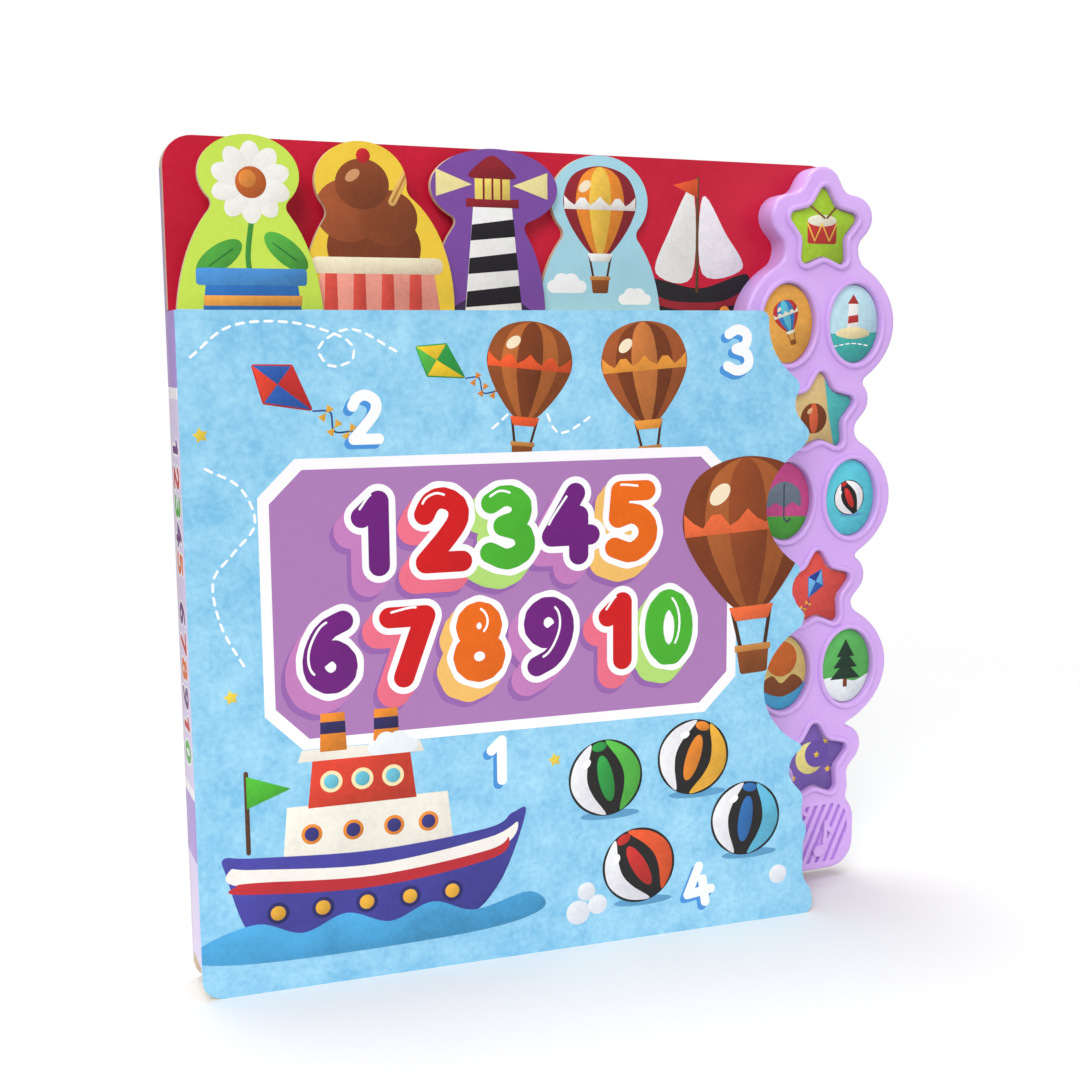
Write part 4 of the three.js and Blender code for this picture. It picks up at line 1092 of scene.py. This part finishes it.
# Back of the book: a lilac panel with a row of numerals, balloons, balls, a kite and clouds
backPanel = {"corners": [(30, 212), (182, 212), (182, 150), (30, 150)], "round": 14, "border": 3.2}


def backPrint(face):
    board = backOutline(0) * (-1, 1) + (book["foreX"], 0)
    sheet = Sheet(-face, [board])
    dashes(sheet, [(10, 232), (40, 244), (74, 232), (96, 246), (132, 236)])
    kite(sheet, 168, 236, 13, redKite, -50)
    shape = roundedLoop(backPanel["corners"], [backPanel["round"]] * 4, 8)
    sheet.ink([shape], "FCFAFF", 0.1, 0.05)
    sheet.ink([offsetLoop(shape, -backPanel["border"])], "AE7CB7", 0.12, 0.1)
    bubbleRow(sheet, "12345", (47, 72, 97, 121, 147), ("purple", "red", "green", "purple", "orange"), 168, 26)
    for x, tones in ((44, ("C9302C", "F2B13A", "E8592B", "FBF3EA")),
                     (106, ("8E4A22", "B4652F", "7A3B1B", "E8592B")),
                     (168, ("2F6FB3", "5FB7D6", "2F9A45", "F2C04A"))):
        balloon(sheet, x, 104, 21, tones)
    for x, tone in ((52, "green"), (92, "orange"), (132, "red"), (172, "blue")):
        toyBall(sheet, x, 38, 13, *ballTones[tone], 14)
    for x, z, size in ((22, 136, 11), (190, 138, 10), (74, 72, 9), (138, 74, 9)):
        cloud(sheet, x, z, size)
    sheet.object("back_cover_print", "back_cover", "cover_board", (), turnedRound)


# Back boards: the red last leaf with a printed boat, and the outer cover
def buildBack():
    inner = offsetLoop(housingLoop, -housing["seat"])
    outline = backOutline(book["leafX"])
    pinkCut = cutBoard("pink_cut", "C98A86", "F0D6CE")
    build = Build()
    build.slab([outline], leafFront[4], leafFront[4] + book["leaf"], (0, 1, 1), [inner])
    build.object("red_leaf", [red, pinkCut], "back_cover", "red_board", ["back_leaf"])
    sheet = Sheet(leafFront[4], [outline])
    redLeafPicture(sheet)
    sheet.object("red_leaf_print", "back_cover", "red_board")
    front = (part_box("back_cover")[0].y - bookCorner[1]) / mm
    outer = Build()
    outer.slab([backOutline(0)], front, front + book["board"], (1, 1, 0), [frameWindow()], tilt=False)
    backPrint(front + book["board"])
    board = outer.object("back_cover_board", [sky, cut, spineInk], "back_cover", "cover_board",
                         ["back_cover"])
    printFold(board, 2, book["cardFoot"], marginSide[0, 1] - book["topRound"])


# The window in the back cover round the battery bay's frame, from the CAD door's box: a gap on either
# side of the frame's rim
bay = {"gap": 0.3, "rim": 1.7, "round": 2.3}


def frameWindow():
    low, high = (np.array(corner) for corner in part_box("battery_door"))
    low, high = (low - bookCorner) / mm, (high - bookCorner) / mm
    grow = bay["gap"] + bay["rim"] + bay["gap"]
    left, right, foot, top = low[0] - grow, high[0] + grow, low[2] - grow, high[2] + grow
    return roundedLoop([(left, foot), (right, foot), (right, top), (left, top)], [bay["round"]] * 4, 4)


buildBack()
print("back boards ready")


# Spine card with bands and small numerals that read downwards
spineRow = {"top": 205, "first": 30, "pitch": 8.7, "gap": 7, "gapAfter": 4, "foot": -5.6, "height": 11.2,
            "stroke": 2.3, "border": 3.9}


def buildSpine():
    low, high = (np.array(corner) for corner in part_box("spine_strip"))
    low, high = (low - bookCorner) / mm, (high - bookCorner) / mm
    build = Build()
    card = roundedLoop([(low[0], low[1]), (high[0], low[1]), (high[0], high[1]), (low[0], high[1])],
                       [0.4, 0.05, 0.05, 0.4], 4)
    build.slab([card], low[2], high[2], (0, 0, 0))
    stand = lambda points: points[:, [0, 2, 1]]
    build.object("spine_card", [spineInk], "book_block", "spine_card", ["spine_strip"], stand, True)
    sheet = Sheet(0.0)
    middle = (low[1] + high[1]) / 2
    figures = "12345678910"
    tones = ("purple", "red", "green", "purple", "orange",
             "purple", "red", "orange", "purple", "red", "green")
    order = np.arange(len(figures))
    places = spineRow["first"] + spineRow["pitch"] * order + spineRow["gap"] * (order > spineRow["gapAfter"])
    glyph = lambda figure, x, width: numeral(figure, x, spineRow["foot"], spineRow["height"], width)
    borders = [shape for figure, x in zip(figures, places) for shape in glyph(figure, x, spineRow["border"])]
    sheet.ink(borders, "FFFFFF", 0.1, 0.05)
    for figure, x, tone in zip(figures, places, tones):
        sheet.ink(glyph(figure, x, spineRow["stroke"]), titleColours[tone][0], 0.4)
    down = lambda points: np.column_stack(
        [points[:, 1], middle - points[:, 2], spineRow["top"] - points[:, 0]])
    sheet.object("spine_print", "book_block", "spine_card", (), down)


buildSpine()
print("spine ready")

# Housing shell: the rim round each window is a bead on a short wall, and the grille is blind grooves
shellShape = {
    "rimTop": 1.15, "rimHeight": 1.3, "foot": 0.5, "footRise": 0.12, "grooveDepth": 1.3, "slots": 8,
    "pitch": 3.2, "slotWidth": 1.5, "lean": 25, "border": 3.2, "crease": 40,
}


def windowLoops():
    stars = [lambda grow, z=z: starLoop(housing["x"], z, grow) for z in starHeights]
    wide, high, spread = housing["ovalWidth"], housing["ovalHeight"], housing["ovalSpread"]
    ovals = [lambda grow, x=housing["x"] + side * spread, z=z: ovalLoop(x, z, wide + grow, high + grow)
             for z in ovalHeights for side in (-1, 1)]
    return stars + ovals


# Part of a convex loop on one side of a line
def clipLoop(loop, normal, limit):
    ahead = np.roll(loop, -1, axis=0)
    here, there = loop @ normal - limit, ahead @ normal - limit
    share = np.where(here * there < 0, here / np.where(here == there, 1, here - there), 0)[:, None]
    cutPoints = loop + (ahead - loop) * share
    order = np.stack([loop, cutPoints], 1).reshape(-1, 2)
    keep = np.stack([here <= 0, here * there < 0], 1).reshape(-1)
    return order[keep]


def grilleSlots():
    x, foot = housing["grilleX"], housing["grilleBottom"] + shellShape["border"]
    half, top = housing["grilleHalf"] - shellShape["border"], housing["grilleTop"] - shellShape["border"]
    bend = housing["grilleRound"] - shellShape["border"]
    region = roundedLoop([(x + half, top), (x + half, foot), (x - half, foot), (x - half, top)], [bend] * 4)
    lean = math.radians(shellShape["lean"])
    normal = np.array([math.cos(lean), -math.sin(lean)])
    middle = np.array([x, (housing["grilleBottom"] + housing["grilleTop"]) / 2]) @ normal
    slots = []
    for index in range(shellShape["slots"]):
        centre = middle + (index - (shellShape["slots"] - 1) / 2) * shellShape["pitch"]
        slot = clipLoop(region, normal, centre + shellShape["slotWidth"] / 2)
        slot = clipLoop(slot, -normal, shellShape["slotWidth"] / 2 - centre)
        if len(slot) > 2:
            slots.append(slot)
    return slots


# A quaver by its head's place: head, stem and flag. It stands proud of the face and fills the grooves.
note = {"proud": 1.1, "sunk": 1.3, "head": 2.2}


def quaver(x, z, scale):
    r = note["head"] * scale
    stem = stroke([(x + r * 0.75, z), (x + r * 1.15, z + r * 4.2)], r * 0.62)
    flag = blob((x + r * 0.95, z + r * 4.3), (x + r * 1.7, z + r * 3.6), (x + r * 2.5, z + r * 2.9),
                (x + r * 2.2, z + r * 2.2), (x + r * 1.3, z + r * 3.1))
    return [disc(x, z, r, r * 0.85, 20), *stem, flag]


# A rounded edge as a quarter circle of [grow, y] pairs
def quarter(grow, y, radius, count=6):
    angle = np.linspace(0, math.pi / 2, count)
    return list(zip(grow - radius + radius * np.sin(angle), y + radius - radius * np.cos(angle)))


def buildShell():
    build = Build()
    bend, wall = housing["edgeRound"], housing["wall"]
    back = leafFront[4]
    rim, crown = housing["rimWidth"], shellShape["rimTop"]
    slots = grilleSlots()
    loops = windowLoops()
    foot = rim + shellShape["foot"]
    flat, triangles = flatUnion([offsetLoop(housingLoop, -bend)], [*(loop(foot) for loop in loops), *slots])
    build.add(np.column_stack([flat[:, 0], np.full(len(flat), faceFront), flat[:, 1]]), triangles, 0)
    flat, triangles = flatUnion([offsetLoop(housingLoop, -wall)], [loop(0.0) for loop in loops])
    build.add(np.column_stack([flat[:, 0], np.full(len(flat), faceBack), flat[:, 1]]), triangles[:, ::-1], 0)
    edge = [*quarter(0.0, faceFront, bend), (0.0, back), (-wall, back), (-wall, faceBack)]
    build.sweep(lambda grow: offsetLoop(housingLoop, grow) if grow else housingLoop, edge, 0)
    angle = np.linspace(0, math.pi, 9)
    top = faceFront - shellShape["rimHeight"]
    crownCurve = list(zip(rim / 2 + rim / 2 * np.cos(angle), top + crown - crown * np.sin(angle)))
    rise = shellShape["footRise"]
    profile = [(foot, faceFront), (rim + rise, faceFront - rise), *crownCurve, (0.0, faceBack)]
    for loop in loops:
        build.sweep(loop, profile, 0)
    deep = faceFront + shellShape["grooveDepth"]
    for slot in slots:
        bottom = np.column_stack([slot[:, 0], np.full(len(slot), deep), slot[:, 1]])
        build.sweep(lambda grow, slot=slot: slot, [(0, faceFront), (0, deep)], 0)
        build.add(bottom, [list(range(len(slot)))], 0)
    build.object("housing_shell", [lilacPlastic], "back_cover", "housing", ["module_front_shell"], None, True,
                 shellShape["crease"])
    notes = Build()
    for x, z, scale in ((housing["grilleX"] + 1, housing["grilleBottom"] + 8, 1.15),
                        (housing["grilleX"] - 9, housing["grilleBottom"] + 18, 0.8)):
        notes.slab(quaver(x, z, scale), faceFront - note["proud"], faceFront + note["sunk"], (0, 0, 0))
    notes.object("grille_notes", [lilacPlastic], "back_cover", "housing")


buildShell()
print("housing ready")


# Button labels: a ground and one small picture each, from the top row down
def drumPicture(sheet, x, z):
    put = movedBy(x, z, 1)
    sheet.ink([put(roundedLoop([(-6, -5), (6, -5), (6, 3), (-6, 3)], [1] * 4, 3))], "C0302A")
    sheet.ink([put(disc(0, 3, 6, 2))], "F5E9D2")
    sheet.ink(stroke(put([(-6, 2), (-3, -4), (0, 2), (3, -4), (6, 2)]), 0.5), "F2C04A")
    sheet.ink(stroke(put([(-5, 8), (1, 4)]), 0.8) + stroke(put([(6, 8), (2, 4)]), 0.8), "8A5A2A")


def balloonPicture(sheet, x, z):
    balloon(sheet, x, z + 2, 6, ("C0302A", "2F7FC0", "5FC0D6", "F5E9D2"), 18)


def lighthousePicture(sheet, x, z):
    put = movedBy(x, z, 1)
    sheet.ink([put([(-12, -14), (12, -14), (12, -3), (-12, -3.6)])], "3FA9A3")
    sheet.ink([put([(-2.6, -3), (2.6, -3), (1.8, 7), (-1.8, 7)])], "F7F1E6")
    sheet.ink([put([(-2.2, 0), (2.3, 0.6), (2.1, 3.2), (-2, 2.6)])], "B4302C")
    sheet.ink([put([(-2.4, 7), (2.4, 7), (0, 10.4)])], "B4302C")
    sheet.ink([put(blob((-7, -4), (-4, -1.6), (4, -1.6), (7, -4), (0, -5.4)))], "E9D9A6")
    dashes(sheet, [put([(-8, -8)])[0], put([(0, -7)])[0], put([(8, -8)])[0]], 2.6, 1.5, 0.4)


def beachBallPicture(sheet, x, z):
    put = movedBy(x, z, 1)
    sheet.ink([put([(2, 14), (14, 14), (14, -14), (7, -14), (4, 0)])], "4DB3B0")
    sheet.ink([put(disc(-2, -2, 5.4))], "7A3B1E")
    sheet.ink([put(disc(-2, -2, 1.8, 5.4))], "D9603A")
    sheet.ink([put(disc(-3.6, 0.6, 1.3, 0.8, 40))], "E8B98A")


def umbrellaPicture(sheet, x, z):
    put = movedBy(x, z, 1)
    sheet.ink([put([(-12, -14), (12, -14), (12, -6), (-12, -5)])], "4FA53F")
    sheet.ink([put(blob((-7, -2), (-6, 4), (0, 7), (6, 4), (7, -2), (3.5, -0.6), (0, -2.2), (-3.5, -0.6)))],
              "7E8C9C")
    sheet.ink(stroke(put([(0, 6), (0, -6), (1.2, -7.6), (2.6, -6.6)]), 0.7), "4C5866")


def toyBallPicture(sheet, x, z):
    toyBall(sheet, x, z, 6.4, "C9302C", "F4F0FA", 25)


def kitePicture(sheet, x, z):
    kite(sheet, x, z + 2.5, 5.6, ("2F5FB3", "6FB7E8", "2E3F9A", "F2C04A"), -28)


def sunsetPicture(sheet, x, z):
    put = movedBy(x, z, 1)
    sheet.ink([put([(-12, -14), (12, -14), (12, -4), (-12, -6)])], "4AA9D8")
    sheet.ink([put(disc(0, 5, 6.5))], "E8742B")
    sheet.ink([put(blob((-9, -5), (-4, -1), (0, -4), (5, -1), (9, -5), (0, -9)))], "8A4A24")


def treePicture(sheet, x, z):
    put = movedBy(x, z, 1)
    sheet.ink([put(blob((-12, -6), (-4, -4), (4, -6), (12, -4), (12, -16), (-12, -16)))], "E4EEF6")
    for step in range(3):
        wide, low = 6.6 - step * 1.4, -5 + step * 4.2
        sheet.ink([put([(-wide, low), (wide, low), (0, low + 6.6)])], "1F3A2C")
    sheet.ink([put([(-0.9, -8), (0.9, -8), (0.9, -5), (-0.9, -5)])], "7A3B1E")


def moonPicture(sheet, x, z):
    put = movedBy(x, z, 1)
    sheet.ink([put(disc(-1, 1, 6))], "F6DE8A")
    sheet.ink([put(disc(2.2, 2.4, 5.2))], "6A4FA6", 0.4)
    for place in ((6, 7), (7, -4), (-8, -6), (2, 2)):
        smallStar(sheet, x + place[0], z + place[1], 1.5, "F2C04A")


labelPictures = [
    drumPicture, balloonPicture, lighthousePicture, beachBallPicture, umbrellaPicture, toyBallPicture,
    kitePicture, sunsetPicture, treePicture, moonPicture,
]
labelGrounds = [
    "A8D030", "EFA94A", "BFE2F2", "DDBF82", "E0559A", "5CC8D8", "E4534A", "F2D080", "5CB45C", "7A5DB0",
]
labelShape = {"gap": 0.36, "sunk": 0.08}


def buildLabels():
    stars = [(z, housing["x"], "star") for z in starHeights]
    spread = housing["ovalSpread"]
    ovals = [(z, housing["x"] + side * spread, "oval") for z in ovalHeights for side in (-1, 1)]
    places = sorted(stars + ovals, key=lambda place: (-place[0], place[1]))
    gap = labelShape["gap"]
    for number, ((z, x, kind), ground, picture) in enumerate(zip(places, labelGrounds, labelPictures), 1):
        front = (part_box(f"button_{number}_label")[0].y - bookCorner[1]) / mm
        if kind == "star":
            loop = starLoop(x, z, -gap)
        else:
            loop = ovalLoop(x, z, housing["ovalWidth"] - gap, housing["ovalHeight"] - gap)
        sheet = Sheet(front + labelShape["sunk"], [loop])
        sheet.ink([loop], ground)
        picture(sheet, x, z)
        sheet.object(f"label_{number}", f"button_{number}", "label_paper", [f"button_{number}_label"])


buildLabels()
print("labels ready")


# Finishes for the CAD nodes that stay
def dressNodes():
    slots = {part["node"]: part["material_slot"] for part in frame["record"]["subparts"]}
    finishes = {
        "core_board": cutBoard("core_grey", "A79A88", "C9BDAC"),
        "housing": lilacPlastic,
        "button_plastic": mouldedPlastic("white_plastic", "F2F0EE", 0.4),
        "circuit": mouldedPlastic("circuit_green", "2F7D46", 0.4),
        "silicone": mouldedPlastic("silicone", "D9D9D4", 0.55),
        "epoxy": mouldedPlastic("black_resin", "1B1B1D", 0.3),
        "steel": plainMetal("plated_steel", "C4C7CB", 0.3),
        "foam": mouldedPlastic("foam", "2A2A2C", 0.9),
        "cone_paper": mouldedPlastic("cone_paper", "3A3634", 0.8),
        "red_wire": mouldedPlastic("red_insulation", "C22A26", 0.45),
        "black_wire": mouldedPlastic("black_insulation", "222222", 0.45),
    }
    for name, node in frame["nodes"].items():
        if slots.get(name) in finishes:
            node.data.materials.clear()
            node.data.materials.append(finishes[slots[name]])


dressNodes()

# Floor that fades out to white, white surround and soft lamps as place, target, size and power
studio = {"floor": 0.94, "size": 2.0, "fade from": 0.16, "fade to": 0.6, "world": 0.42}
lamps = {
    "key": ((-0.75, -1.1, 1.15), (0, 0, 0.1), 0.9, 15.2),
    "fill": ((1.1, -0.9, 0.7), (0, 0, 0.12), 1.0, 3.4),
    "top": ((-0.1, 0.34, 1.5), (0, 0, 0), 1.0, 11.8),
}


def makeFloor():
    made = Finish("pale_floor", 0.9)
    made.shader.inputs["Base Color"].default_value = (studio["floor"],) * 3 + (1,)
    place = made.node("ShaderNodeTexCoord").outputs["Object"]
    far = Wire(made, made.node("ShaderNodeVectorMath", {"operation": "LENGTH"}, {0: place}).outputs["Value"])
    made.join((studio["fade to"] - far) * (1 / (studio["fade to"] - studio["fade from"])),
              made.shader.inputs["Alpha"])
    size = studio["size"]
    mesh = bpy.data.meshes.new("floor")
    corners = [(-size, -size, 0), (size, -size, 0), (size, size, 0), (-size, size, 0)]
    mesh.from_pydata(corners, [], [(0, 1, 2, 3)])
    mesh.materials.append(made.material)
    floor = bpy.data.objects.new("floor", mesh)
    bpy.context.collection.objects.link(floor)


def makeWorld():
    world = bpy.data.worlds.new("white_room")
    bpy.context.scene.world = world
    world.use_nodes = True
    tree = world.node_tree
    ground = tree.nodes["Background"]
    ground.inputs["Color"].default_value = (1, 1, 1, 1)
    rays = tree.nodes.new("ShaderNodeLightPath")
    seen = tree.nodes.new("ShaderNodeMath")
    seen.operation = "MAXIMUM"
    tree.links.new(rays.outputs["Is Camera Ray"], seen.inputs[0])
    tree.links.new(rays.outputs["Is Transmission Ray"], seen.inputs[1])
    level = tree.nodes.new("ShaderNodeMapRange")
    tree.links.new(seen.outputs[0], level.inputs["Value"])
    level.inputs["To Min"].default_value = studio["world"]
    level.inputs["To Max"].default_value = 1.0
    tree.links.new(level.outputs[0], ground.inputs["Strength"])


def makeLamp(name, place, target, size, power):
    data = bpy.data.lights.new(name, "AREA")
    data.shape = "DISK"
    data.size = size
    data.energy = power
    lamp = bpy.data.objects.new(name, data)
    bpy.context.collection.objects.link(lamp)
    lamp.location = place
    lamp.rotation_euler = (Vector(place) - Vector(target)).to_track_quat("Z", "Y").to_euler()


makeFloor()
makeWorld()
for name, settings in lamps.items():
    makeLamp(name, *settings)

scene = bpy.context.scene
scene.view_settings.view_transform = "Standard"
print("scene ready")
